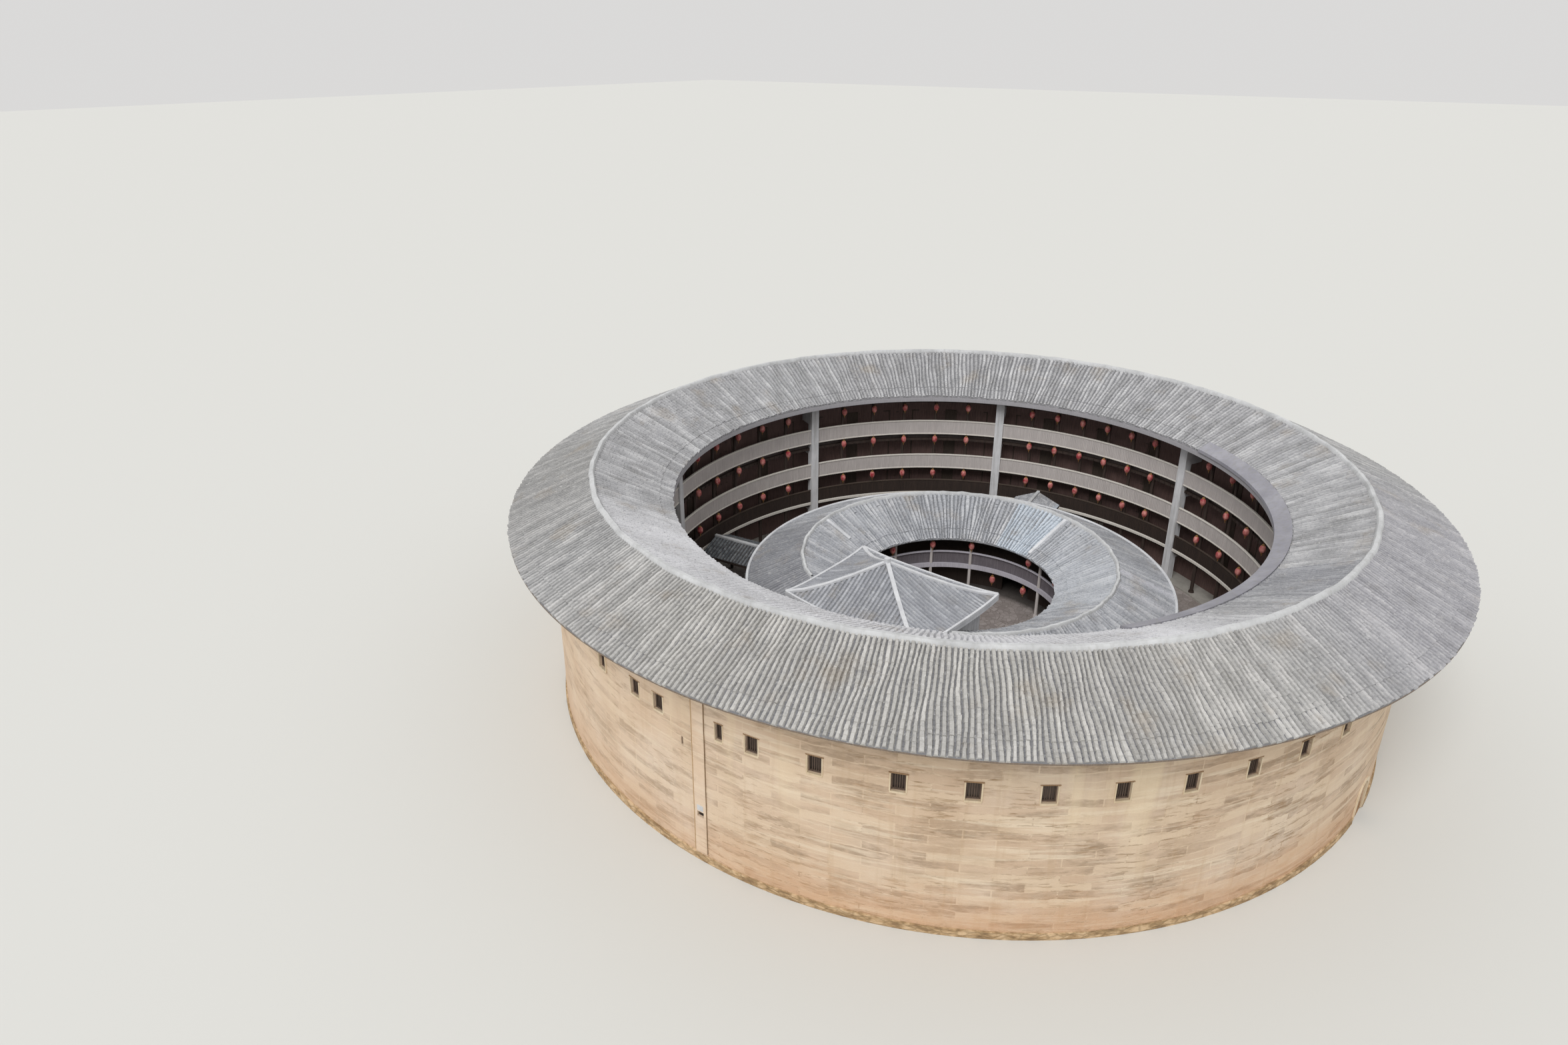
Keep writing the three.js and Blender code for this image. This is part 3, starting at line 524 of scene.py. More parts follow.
def round_about(shape, count, groups):
    """Repeats a shape right round the house, first over one group and then group by group."""
    each = count // groups
    step = TURN / count
    for repeats, angle in ((each, step), (groups, step * each)):
        geometry = [*shape.verts, *shape.edges, *shape.faces]
        bmesh.ops.spin(shape, geom=geometry, cent=(0, 0, 0), axis=UP, angle=angle * (repeats - 1),
                       steps=repeats - 1, use_duplicate=True)
    return shape


def at(azimuth, radius=0.0, height=0.0):
    """The place of something made with +X outwards, once it stands at an azimuth."""
    return Matrix.Rotation(math.radians(azimuth), 4, "Z") @ Matrix.Translation((radius, 0, height))


def placed(shape, place):
    bmesh.ops.transform(shape, matrix=place, verts=shape.verts)
    return shape


# How much of a tile's shade is its row's, its own and a longer streak's, and how long the streaks are.
ROW_SHADE, OWN_SHADE, STREAK_SHADE = 0.6, 0.12, 0.6
STREAK_ROWS, STREAK_COURSES = 0.45, 0.16


def shade_rows(shape, row_length, seed):
    """Gives each tile a shade from 0 to 1, part of it common to its row and part to a longer streak."""
    layer = shape.faces.layers.float.new("shade")
    rng = np.random.default_rng(seed)
    parts = len(shape.faces) // BLOCK_FACES
    rows = rng.random(parts // row_length + 1)
    own = rng.random(parts)
    shades = []
    for part in range(parts):
        row, course = divmod(part, row_length)
        streak = noise.noise(Vector((row * STREAK_ROWS, course * STREAK_COURSES, seed)))
        shade = 0.5 + ROW_SHADE * (rows[row] - 0.5) + OWN_SHADE * (own[part] - 0.5) + STREAK_SHADE * streak
        shades.append(min(1.0, max(0.0, shade)))
    for number, face in enumerate(shape.faces):
        face[layer] = shades[number // BLOCK_FACES]


def finish_piece(name, shape, finish, stands_for=(), shift=None, seed=None, smooth=None):
    """Makes the piece from its shape, at the model's scale, and lets it ride on the house.

    Its points move by what the shift gives for them. With a seed, each block gets its own shade.
    """
    mesh = mesh_of(name, put_together(*shape) if isinstance(shape, list) else shape)
    if shift:
        points = np.empty(len(mesh.vertices) * 3)
        mesh.vertices.foreach_get("co", points)
        points = points.reshape(-1, 3)
        mesh.vertices.foreach_set("co", (points + shift(points)).ravel())
    mesh.transform(Matrix.Scale(SCALE, 4))
    if smooth is not None:
        mesh.shade_smooth()
        mesh.set_sharp_from_angle(angle=math.radians(smooth))
    mesh.materials.append(FINISHES[finish])
    if seed is not None:
        faces = len(mesh.polygons)
        shades = np.random.default_rng(seed).random(math.ceil(faces / BLOCK_FACES))
        values = np.repeat(shades, BLOCK_FACES)[:faces].astype(np.float32)
        mesh.attributes.new("shade", "FLOAT", "FACE").data.foreach_set("value", values)
    piece = new_object(name, mesh)
    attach(piece, "root")
    if stands_for:
        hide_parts(*stands_for)


# Tiled roofs

# A cover tile takes up most of the pitch of its row and shows 250 mm of its length.
TILE_SHARE = 0.8
TILE_RISE = 0.085
TILE_SINK = 0.06
CROWN_SHARE = 0.6
COURSE = 0.25
LAP = 1.12
LAP_SPREAD = 1.07
LAP_LIFT = 0.012
# How far a row slides up or down the slope, and a tile and each of its corners lie out of place.
ROW_SLIDE = 0.05
TILE_JOG = 0.007
CORNER_JOG = 0.006


def cover_tile(length, width=1.0):
    """One cover tile with +X down the slope: narrower above, wider and lifted where it laps the next."""
    size = Vector((length, width, TILE_RISE))
    tile = slab(-size / 2, size / 2)
    for corner in tile.verts:
        on_crown = corner.co.z > 0
        if on_crown:
            corner.co.y *= CROWN_SHARE
        if corner.co.x > 0:
            corner.co.y *= LAP_SPREAD
            corner.co.z += LAP_LIFT
        if not on_crown:
            corner.co.z -= TILE_SINK
    return tile


# The last courses before an eave lie a little lower, so that a shadow line runs round above them.
LEDGE = 0.9
LEDGE_DROP = 0.05
# The deck rises by this much from course to course, and its edge is thin and stands out from the boards.
DECK_STEP = 0.03
DECK_EDGE = 0.12
DECK_OUT = 0.4


def down_slope(top, eave, along):
    """Radius and height of the tiles' bed at a share of the way from the top of a slope to its eave."""
    lower = LEDGE_DROP if (1 - along) * math.dist(top, eave) < LEDGE else 0.0
    return top[0] + (eave[0] - top[0]) * along, top[1] + (eave[1] - top[1]) * along - lower


def shifts(azimuth, outward, aside, upward):
    """Shifts in x, y and z for shifts that are given outward, round and up."""
    cosine, sine = np.cos(azimuth), np.sin(azimuth)
    return np.stack([cosine * outward - sine * aside, sine * outward + cosine * aside, upward], axis=1)


def ring_tiles(name, top, eave, rows, groups, seed, finishes, stands_for, thickness, gaps=()):
    """Cover tiles in rows down a ring roof, over a deck that is stepped course by course."""
    run = math.dist(top, eave)
    courses = round(run / COURSE)
    pitch = math.atan2(top[1] - eave[1], abs(eave[0] - top[0]))
    side = math.copysign(1, eave[0] - top[0])
    turn = Matrix.Rotation(pitch, 4, "Y")
    if side < 0:
        turn = Matrix.Rotation(math.pi, 4, "Z") @ turn
    places = []
    for course in range(courses):
        radius, height = down_slope(top, eave, (course + 0.5) / courses)
        widened = Matrix.Diagonal((1, TILE_SHARE * TURN * radius / rows, 1, 1))
        places.append(Matrix.Translation((radius, 0, height + 0.005)) @ turn @ widened)
    tiles = round_about(copied_to(cover_tile(run / courses * LAP), places), rows, groups)
    shade_rows(tiles, courses, seed)
    cut_out(tiles, gaps, BLOCK_FACES)
    rng = np.random.default_rng(seed)

    def unevenly(points):
        count = len(points)
        parts = count // BLOCK_CORNERS
        jog = rng.normal(0, 1, (parts, 3)) * TILE_JOG
        lift = rng.normal(0, CORNER_JOG, (count, 3))
        slides = rng.uniform(-ROW_SLIDE, ROW_SLIDE, parts // courses + 1)
        slid = np.repeat(slides, courses * BLOCK_CORNERS)[:count]
        azimuth = np.arctan2(points[:, 1], points[:, 0])
        radius = np.hypot(points[:, 0], points[:, 1])
        sway = 0.05 * np.sin(azimuth * 23 + radius * 0.7)
        sway += 0.03 * np.sin(azimuth * 61 + radius * 1.9 + seed)
        sway += 0.02 * np.sin(azimuth * 173 + radius * 1.1 + seed)
        heave = 0.02 * np.sin(azimuth * 17 + seed) * np.sin(radius * 1.3)
        moved = np.repeat(jog, BLOCK_CORNERS, axis=0) + lift
        return moved + shifts(azimuth, slid, sway, heave - slid * math.tan(pitch) * side)

    finish_piece(name + "_cover_tiles", tiles, finishes[0], shift=unevenly)
    section = []
    for number in range(courses):
        for share, lift in ((number / courses, 0.0), ((number + 1) / courses, DECK_STEP)):
            radius, height = down_slope(top, eave, share)
            section.append((radius, height - TILE_RISE + lift))
    section.append((eave[0], eave[1] - LEDGE_DROP - DECK_EDGE))
    section.append((eave[0] - DECK_OUT * side, eave[1] - thickness))
    section.append((top[0], top[1] - thickness))
    deck = turned(section, rows // 3)
    cut_out(deck, gaps)
    finish_piece(name + "_deck", deck, finishes[1], stands_for=stands_for)


def cut_out(shape, spaces, faces_each=1):
    """Deletes each part whose middle is in any of some upright spaces.

    A space is given as ((low x, y), (high x, y), low z).
    """
    faces = list(shape.faces) if spaces else []
    doomed = []
    for first in range(0, len(faces), faces_each):
        part = faces[first:first + faces_each]
        middle = sum((face.calc_center_median() for face in part), Vector()) / len(part)
        if any(low[0] < middle.x < high[0] and low[1] < middle.y < high[1] and middle.z > floor
               for low, high, floor in spaces):
            doomed += part
    bmesh.ops.delete(shape, geom=doomed, context="FACES")


def ridge_bank(name, ridge, half, rise, slopes, steps, stands_for, seed, gaps=()):
    """The lime ridge, run by hand over the top course, so that it is a little uneven."""
    radius, height = ridge
    inner, outer = (height - half * slope - 0.05 for slope in slopes)
    inner_side, outer_side = (height + rise * 0.45 - half * slope * 0.4 for slope in slopes)
    shape = turned([
        (radius - half, inner),
        (radius + half, outer),
        (radius + half * 0.95, outer_side),
        (radius + half * 0.5, height + rise * 0.95),
        (radius - half * 0.5, height + rise * 0.95),
        (radius - half * 0.95, inner_side),
    ], steps)
    cut_out(shape, gaps)

    def by_hand(points):
        azimuth = np.arctan2(points[:, 1], points[:, 0])
        waver = 0.03 * np.sin(azimuth * 29 + seed) + 0.02 * np.sin(azimuth * 83 + 2 * seed)
        rise = 0.015 * np.sin(azimuth * 47 + seed) + 0.012 * np.sin(azimuth * 131)
        return shifts(azimuth, waver, 0.0, rise)

    finish_piece(name, shape, "lime", stands_for=stands_for, shift=by_hand, smooth=50)


def bar_between(start, end, width, low, high, bevel=0.0):
    """A bar that follows the line between two points and reaches from low to high off it."""
    along = end - start
    bar = slab((0, -width / 2, low), (along.length, width / 2, high), bevel)
    return placed(bar, Matrix.Translation(start) @ facing(along.normalized()))


def facing(along):
    """The turn that lays +X along a direction and keeps +Y level."""
    aside = UP.cross(along).normalized()
    return Matrix((along, aside, along.cross(aside))).transposed().to_4x4()


def along_slope(inner, outer, width, low, high, bevel=0.0):
    """A bar that lies along a slope between two (radius, height) points."""
    start, end = (Vector((radius, 0, height)) for radius, height in (inner, outer))
    return bar_between(start, end, width, low, high, bevel)


def rafters(name, inner, outer, count, size, below, groups):
    rafter = along_slope(inner, outer, size[0], -below - size[1], -below)
    finish_piece(name, round_about(rafter, count, groups), "post timber", seed=count)


def inner_slope(radius):
    """Height of the roof above the galleries."""
    return ROOF_INNER_EAVE[1] + (radius - ROOF_INNER_EAVE[0]) * INNER_PITCH


# Where the roof was mended, a bank of mortar covers the last tiles above the court.
BANK_START, BANK_TURN = 146, 94
BANK_REACH, BANK_RISE = 0.84, 0.13


def main_roofs():
    ring_tiles("outer_roof", ROOF_RIDGE, ROOF_EAVE, 624, 24, 11, ("outer tile", "main deck"),
               ["outer_roof"], ROOF_THICK)
    ring_tiles("inner_roof", ROOF_RIDGE, ROOF_INNER_EAVE, 450, 18, 12, ("inner tile", "court deck"),
               ["inner_roof"], ROOF_THICK)
    ridge_bank("lime_main_ridge", ROOF_RIDGE, 0.2, 0.16, (INNER_PITCH, 0.42), 240, ["main_ridge"], 3)
    rafters("outer_rafters", (28.1, 14.44), (30.95, 13.24), 360, (0.11, 0.15), ROOF_THICK + 0.01, 15)
    inner, outer = (20.5, inner_slope(20.5)), (23.5, inner_slope(23.5))
    rafters("inner_rafters", inner, outer, 256, (0.11, 0.15), ROOF_THICK + 0.01, 16)
    ring_rail("outer_eave_board", ROOF_EAVE[0] - 0.02, ROOF_EAVE[1] - 0.14, 0.05, 0.1, "eave edge",
              200)
    near, far = ROOF_INNER_EAVE[0], ROOF_INNER_EAVE[0] + 0.1
    middle = (EAVE_BOARD_FOOT + ROOF_INNER_EAVE[1]) / 2
    # The lower of the two eave boards stands a little proud of the upper one.
    lower = band(near - 0.02, far, EAVE_BOARD_FOOT, middle, 180)
    upper = band(near, far, middle, ROOF_INNER_EAVE[1] - 0.09, 180)
    finish_piece("inner_eave_boards", [lower, upper], "eave board")
    inner, outer = near - 0.13, near + BANK_REACH
    low, high = inner_slope(near) - 0.14, inner_slope(outer) - 0.08
    section = [(inner, low), (outer, high), (outer, high + BANK_RISE + 0.08), (inner, low + BANK_RISE + 0.1)]
    bank = turned(section, 60, math.radians(BANK_START), math.radians(BANK_TURN))
    finish_piece("inner_eave_bank", bank, "eave mortar", smooth=40)


# Outer wall

WALL_COLUMNS = 480
WALL_COURSES = 70
# Only faces so near to a hole, in degrees and metres, are cut for it.
NEAR = 2.0


def wall_face(height):
    return WALL_FOOT + (WALL_TOP - WALL_FOOT) * height / WALL_HEIGHT


def cut_hole(shape, outline):
    """Cuts a counter-clockwise outline of (degrees, height) corners out of the unrolled wall."""
    across, up = zip(*outline)
    low = Vector((min(across) - NEAR, min(up) - NEAR))
    high = Vector((max(across) + NEAR, max(up) + NEAR))

    def near():
        faces = [face for face in shape.faces if low.x < face.calc_center_median().x < high.x
                 and low.y < face.calc_center_median().y < high.y]
        edges = {edge for face in faces for edge in face.edges}
        corners = {corner for face in faces for corner in face.verts}
        return [*faces, *edges, *corners], faces

    sides = [(Vector((*start, 0)), Vector((end[1] - start[1], start[0] - end[0], 0)))
             for start, end in zip(outline, outline[1:] + outline[:1])]
    for point, outward in sides:
        bmesh.ops.bisect_plane(shape, geom=near()[0], dist=1e-4, plane_co=point, plane_no=outward)
    inside = [face for face in near()[1]
              if all((face.calc_center_median() - point).dot(outward) < 0 for point, outward in sides)]
    bmesh.ops.delete(shape, geom=inside, context="FACES")


def degrees_across(width):
    return math.degrees(width / WALL_FOOT)


def square_outline(hole):
    azimuth, half = from_seam(hole["azimuth"]), degrees_across(hole["width"]) / 2
    low, high = hole["middle"] - hole["height"] / 2, hole["middle"] + hole["height"] / 2
    return [(azimuth - half, low), (azimuth + half, low), (azimuth + half, high), (azimuth - half, high)]


def arched_outline(door):
    azimuth, half = from_seam(door["azimuth"]), door["width"] / 2
    degrees = degrees_across(half)
    angles = [math.pi * step / 6 for step in range(7)]
    arch = [(azimuth + degrees * math.cos(angle), door["height"] + half * (math.sin(angle) - 1))
            for angle in angles]
    return [(azimuth - degrees, SILL), (azimuth + degrees, SILL), *arch]


def windows():
    azimuths = [axis + side * offset for axis in (BACK_WINDOWS, GATE) for offset in WINDOW_OFFSETS
                for side in (-1, 1)]
    for azimuth in (*azimuths, *SIDE_WINDOWS):
        is_narrow = abs(azimuth - NARROW_WINDOW["azimuth"]) < 1
        yield {**WINDOW, "azimuth": azimuth, **(NARROW_WINDOW if is_narrow else {})}


# The unrolled wall runs from this azimuth right round, so that its seam lies between two windows.
SEAM = -176


def from_seam(azimuth):
    return (azimuth - SEAM) % 360 + SEAM


def earth_wall():
    wall = bmesh.new()
    bmesh.ops.create_grid(wall, x_segments=WALL_COLUMNS, y_segments=WALL_COURSES, size=0.5)
    bmesh.ops.translate(wall, vec=(0.5, 0.5, 0), verts=wall.verts)
    bmesh.ops.scale(wall, vec=(360, WALL_SHOWN, 1), verts=wall.verts)
    bmesh.ops.translate(wall, vec=(SEAM, 0, 0), verts=wall.verts)
    for hole in (*windows(), SLIT, OUTLET):
        cut_hole(wall, square_outline(hole))
    for door in DOORS:
        cut_hole(wall, arched_outline(door))
    for corner in wall.verts:
        angle, height = math.radians(corner.co.x), corner.co.y
        corner.co = (wall_face(height) * math.cos(angle), wall_face(height) * math.sin(angle), height)
    bmesh.ops.remove_doubles(wall, verts=wall.verts, dist=1e-4)
    bmesh.ops.recalc_face_normals(wall, faces=wall.faces)
    outside = next(iter(wall.faces))
    if outside.normal.dot(Vector((*outside.calc_center_median().xy, 0))) < 0:
        bmesh.ops.reverse_faces(wall, faces=wall.faces)
    bmesh.ops.solidify(wall, geom=wall.faces, thickness=WALL_FOOT - WALL_INNER)
    bmesh.ops.recalc_face_normals(wall, faces=wall.faces)

    def weathered(points):
        moved = np.zeros_like(points)
        radius = np.hypot(points[:, 0], points[:, 1])
        for number in np.flatnonzero(radius > wall_face(points[:, 2]) - 0.03):
            point = Vector(points[number])
            swell = noise.noise(point * 0.23) * 0.05 + noise.noise(point * 0.9) * 0.022
            lift = noise.noise(Vector((point.x * 0.7, point.y * 0.7, point.z * 4.5))) * 0.02
            moved[number] = Vector((point.x, point.y, 0)).normalized() * (swell + lift)
        return moved

    finish_piece("rammed_earth_wall", wall, "earth", shift=weathered, smooth=40,
                 stands_for=[f"outer_wall_{number}" for number in range(1, 10)])


def window_frames():
    """Frames with upright bars, set back in the wall, with a dark board shut behind them."""
    half, low, high = WINDOW["width"] / 2, -WINDOW["height"] / 2, WINDOW["height"] / 2
    rail = 0.08
    parts = [
        slab((-0.06, -half, low), (0.06, -half + rail, high), 0.01),
        slab((-0.06, half - rail, low), (0.06, half, high), 0.01),
        slab((-0.06, -half + rail, low), (0.06, half - rail, low + rail), 0.01),
        slab((-0.06, -half + rail, high - rail), (0.06, half - rail, high), 0.01),
    ]
    inner = WINDOW["width"] - 2 * rail
    for number in range(1, 5):
        across = -inner / 2 + inner * number / 5
        parts.append(slab((-0.02, across - 0.02, low + rail), (0.02, across + 0.02, high - rail)))

    def set_back(depth):
        face = wall_face(WINDOW["middle"])
        for hole in windows():
            narrowed = Matrix.Diagonal((1, hole["width"] / WINDOW["width"], 1, 1))
            yield at(hole["azimuth"], face - depth, WINDOW["middle"]) @ narrowed

    finish_piece("window_frames", copied_to(parts, set_back(0.2)), "window timber")
    board = slab((-0.03, -half, low), (0.0, half, high))
    finish_piece("window_boards", copied_to(board, set_back(0.3)), "window board", seed=9)
    lintel = slab((-0.1, -half - 0.12, high + 0.01), (0.03, half + 0.12, high + 0.06), 0.01)
    finish_piece("window_lintels", copied_to(lintel, set_back(0)), "lintel")
    sill = slab((-0.1, -half - 0.06, low - 0.12), (0.05, half + 0.06, low), 0.02)
    jambs = [slab((-0.1, middle - 0.04, low), (0.04, middle + 0.04, high), 0.01)
             for middle in (-half - 0.04, half + 0.04)]
    finish_piece("window_plaster", copied_to([sill, *jambs], set_back(0)), "patch")


# Lower and upper end of the joints down the sides of the strip.
STRIP_JOINTS = (0.6, 12.9)
# How far the dark block of painted shade behind the outlet and the slit stands back, and reaches past their
# edges.
SHADE_BLOCK_BACK = 0.1
SHADE_BLOCK_PAST = 0.06


def strip_details():
    """The joints down the strip's sides, the dark block of painted shade in its outlet and in the slit, and
    its patch.
    """
    azimuth, half = STRIP["azimuth"], STRIP["width"] / 2
    low, high = STRIP_JOINTS
    # The open joint's dark strip is painted shadow of the gap beside the strip.
    for name, across, width in (("open", half + 0.01, 0.028), ("filled", -half - 0.01, 0.04)):
        foot, top = (Vector((wall_face(height) + STRIP["face"], across, height)) for height in (low, high))
        joint = placed(bar_between(foot, top, width, -0.05, 0.04, 0.01), at(azimuth))
        finish_piece(f"strip_{name}_joint", joint, f"{name} joint")
    plugs = []
    for hole in (OUTLET, SLIT):
        half, tall = hole["width"] / 2 + SHADE_BLOCK_PAST, hole["height"] / 2 + SHADE_BLOCK_PAST
        place = at(hole["azimuth"], wall_face(hole["middle"]) - SHADE_BLOCK_BACK, hole["middle"])
        plugs.append(placed(slab((-0.1, -half, -tall), (0, half, tall)), place))
    finish_piece("drain_painted_shade", plugs, "dark")
    patch = slab((-0.03, -0.24, 3.42), (0.012, 0.2, 3.8), 0.01)
    place = at(azimuth, wall_face(3.6) + STRIP["face"])
    finish_piece("outlet_patch", placed(patch, place), "lime")


FOOTING = ((28.5, 0), (28.66, 0), (28.62, 0.4), (28.5, 0.45))
# Steps for each radian.
FOOTING_STEPS = 30


def footing_bands():
    """The footing, in three runs between the doorways."""
    arcs = []
    for number, door in enumerate(DOORS):
        follower = DOORS[(number + 1) % len(DOORS)]
        start = door["azimuth"] + degrees_across(door["width"] / 2 + door["frame"])
        stop = follower["azimuth"] - degrees_across(follower["width"] / 2 + follower["frame"])
        turn = math.radians((stop - start) % 360)
        arcs.append(turned(FOOTING, round(turn * FOOTING_STEPS), math.radians(start), turn))
    finish_piece("footing_bands", arcs, "footing",
                 stands_for=["west_footing", "back_footing", "east_footing"])


# Galleries

# A sector's bays end this many degrees off its middle, beside the fire walls.
SECTOR_END = 21.2


def sectors():
    """The middle of each sector, with its posts' azimuths off that."""
    for number in range(8):
        yield GATE + SECTOR * number, SEVEN_BAYS if number % 4 == 0 else SIX_BAYS


def post_azimuths():
    return [middle + offset for middle, offsets in sectors() for offset in offsets]


def bay_azimuths():
    for middle, offsets in sectors():
        ends = (-SECTOR_END, *offsets, SECTOR_END)
        for left, right in zip(ends, ends[1:]):
            yield middle + (left + right) / 2


PARAPETS = {"third": (5.58, 6.85), "fourth": (8.86, 10.11)}
BOARDS_ROUND = 864
BEAM_TOP = 12.2
BAND = (21.76, 21.92)


def boarded_band(name, low, high, finish, stands_for, seed):
    """Upright boards nailed to the court side of a parapet, between a foot board and a head board."""
    inner, outer = BAND
    board = slab((inner - 0.035, -0.07, low + 0.05), (inner + 0.005, 0.07, high - 0.06))
    finish_piece(name + "_boards", round_about(board, BOARDS_ROUND, 36), finish, seed=seed)
    backing = band(inner, outer, low, high, 96)
    finish_piece(name + "_backing", backing, finish, stands_for=stands_for)


def ring_rail(name, radius, height, width, depth, finish, steps=96):
    section = [(radius - width / 2, height - depth), (radius + width / 2, height - depth),
               (radius + width / 2, height - depth * 0.25), (radius + width * 0.3, height),
               (radius - width * 0.3, height), (radius - width / 2, height - depth * 0.25)]
    finish_piece(name, turned(section, steps), finish)


def galleries():
    for number, (name, (low, high)) in enumerate(PARAPETS.items()):
        stands_for = [f"gallery_{piece}" for piece in range(1, 9)] if number == 0 else ()
        boarded_band(name + "_parapet", low, high, "pale board", stands_for, 20 + number)
        ring_rail(name + "_rail", BAND[0] + 0.02, high + 0.06, 0.2, 0.09, "rail")
        ring_rail(name + "_foot_rail", BAND[0] + 0.01, low + 0.09, 0.14, 0.1, "rail")
    boarded_band("second_parapet", 3.2, 4.3, "dark timber", (), 30)
    ring_rail("second_rail", BAND[0] + 0.02, 4.42, 0.14, 0.1, "post timber")
    ring_rail("second_floor_edge", BAND[0] + 0.02, 3.2, 0.16, 0.25, "rail")
    top = inner_slope(POST_RADIUS) - ROOF_THICK
    shaft, base = drum(0.15, 0.13, FLOOR_TOPS[0] + 0.12, top, 10), drum(0.24, 0.2, FLOOR_TOPS[0], 0.45, 10)
    places = [at(azimuth, POST_RADIUS) for azimuth in post_azimuths()]
    posts = copied_to([shaft, base], places)
    finish_piece("gallery_posts", posts, "dark timber", smooth=50)
    beams = [band(22.0, 22.24, floor - 0.42, floor - 0.2, 48) for floor in (*FLOOR_TOPS[1:], BEAM_TOP)]
    finish_piece("gallery_beams", beams, "dark timber")
    joists = [round_about(slab((21.9, -0.06, floor - 0.38), (23.4, 0.06, floor - 0.21)), 240, 15)
              for floor in FLOOR_TOPS[1:]]
    finish_piece("gallery_joists", joists, "dark timber", seed=8)


# Middle, half width, foot and head of the window on either side of a room's door.
ROOM_WINDOW = (0.95, 0.35, 1.0, 1.9)


def room_doors():
    """Door and window of each room, on the timber wall behind the gallery."""
    leaf = slab((-0.07, -0.4, 0.12), (-0.03, 0.4, 1.95))
    jambs = [slab((-0.1, side * 0.46 - 0.06, 0.0), (0.0, side * 0.46 + 0.06, 2.05), 0.01)
             for side in (-1, 1)]
    head = slab((-0.1, -0.52, 1.95), (0.0, 0.52, 2.07), 0.01)
    step = slab((-0.16, -0.5, 0.0), (0.0, 0.5, 0.12), 0.01)
    parts = [leaf, *jambs, head, step]
    offset, half, low, high = ROOM_WINDOW
    for middle in (-offset, offset):
        parts.append(slab((-0.06, middle - half, low), (0.0, middle + half, low + 0.07)))
        parts.append(slab((-0.06, middle - half, high - 0.07), (0.0, middle + half, high)))
        for bar in range(5):
            across = middle - 0.32 + bar * 0.16
            parts.append(slab((-0.05, across - 0.025, low), (0.0, across + 0.025, high)))
    places = [at(azimuth, ROOM_FRONT - 0.005, floor) for floor in FLOOR_TOPS[1:]
              for azimuth in bay_azimuths()]
    finish_piece("room_doors", copied_to(parts, places), "post timber")


# Lanterns

LANTERN = 0.27
LANTERN_RADIUS, RING_LANTERN_RADIUS = 21.55, 7.75
LANTERN_HEIGHTS = (11.45, 8.44, 5.14)
RING_LANTERN_HEIGHT, GATE_LANTERN_HEIGHT = 4.55, 1.95
RING_LANTERNS = (-157.5, -132, -105, -68, -45, -19, 2, 22.5, 157.5, 178)
GATE_LANTERNS = (-103, -82)


def lantern():
    body = bmesh.new()
    bmesh.ops.create_uvsphere(body, u_segments=10, v_segments=8, radius=LANTERN)
    bmesh.ops.scale(body, vec=(0.88, 0.88, 1.2), verts=body.verts)
    return body


def lantern_trim():
    """Cap, foot, tassel and string."""
    sizes = ((0.12, 0.1, 0.28, 0.35, 8), (0.1, 0.12, -0.35, -0.28, 8), (0.02, 0.035, -0.55, -0.35, 6),
             (0.008, 0.008, 0.35, 0.6, 4))
    return [drum(*size) for size in sizes]


def lanterns():
    gallery = [at(azimuth, LANTERN_RADIUS, height) for height in LANTERN_HEIGHTS
               for azimuth in post_azimuths()]
    ring = [at(azimuth, RING_LANTERN_RADIUS, RING_LANTERN_HEIGHT) for azimuth in RING_LANTERNS]
    ring += [at(azimuth, RING_LANTERN_RADIUS, GATE_LANTERN_HEIGHT) for azimuth in GATE_LANTERNS]
    for name, places in (("gallery", gallery), ("ring", ring)):
        finish_piece(name + "_lanterns", copied_to(lantern(), places), "silk", smooth=60)
        finish_piece(name + "_lantern_trim", copied_to(lantern_trim(), places), "gilt")


# Ring in the court

# Banks of lime that run up the ring's slopes: azimuth, inner and outer end as radius and height.
RING_SEAMS = (
    (-107, (7.4, 5.54), (11.1, 7.46)),
    (7, (9.0, 6.37), (11.1, 7.46)),
)
# The ring's roof has no tiles in the hall's place nor above its eaves: (low x, y), (high x, y), low z.
RING_GAPS = (((-4.9, 0), (4.9, 12.0), 0), ((-5.6, 3.7), (5.8, 13.2), 7.0))


def court_ring():
    ring_tiles("ring_outer", RING_RIDGE, RING_EAVE, 270, 15, 21, ("ring tile", "ring deck"),
               ["inner_ring_roof"], RING_ROOF_THICK, RING_GAPS)
    ring_tiles("ring_inner", RING_RIDGE, RING_INNER_EAVE, 200, 10, 22, ("mended tile", "ring deck"), (),
               RING_ROOF_THICK, RING_GAPS)
    ridge_bank("lime_ring_ridge", RING_RIDGE, 0.15, 0.15, (0.517, 0.427), 180, ["inner_ring_ridge"], 7,
               RING_GAPS)
    ring_rail("ring_verge", RING_EAVE[0] - 0.1, RING_EAVE[1] + 0.16, 0.2, 0.2, "verge", 180)
    seams = [placed(along_slope(inner, outer, 0.26, -0.02, 0.13, 0.03), at(azimuth))
             for azimuth, inner, outer in RING_SEAMS]
    finish_piece("ring_seams", seams, "verge")
    rafters("ring_outer_rafters", (14.2, 6.27), (15.3, 5.8), 180, (0.09, 0.12), RING_ROOF_THICK + 0.01, 12)


# The gallery over the inner court runs from one side of the hall round to the other.
GALLERY_START, GALLERY_TURN = 129, 282
# Floor, top of the rail and top of the posts.
GALLERY_HEIGHTS = (2.75, 3.87, 5.7)
GALLERY_BOARDS = 400
RING_POST_RADIUS = 8.05
RING_POSTS = (-157.5, -135, -112.5, -67.5, -45, -22.5, 0, 22.5, 157.5, 180)


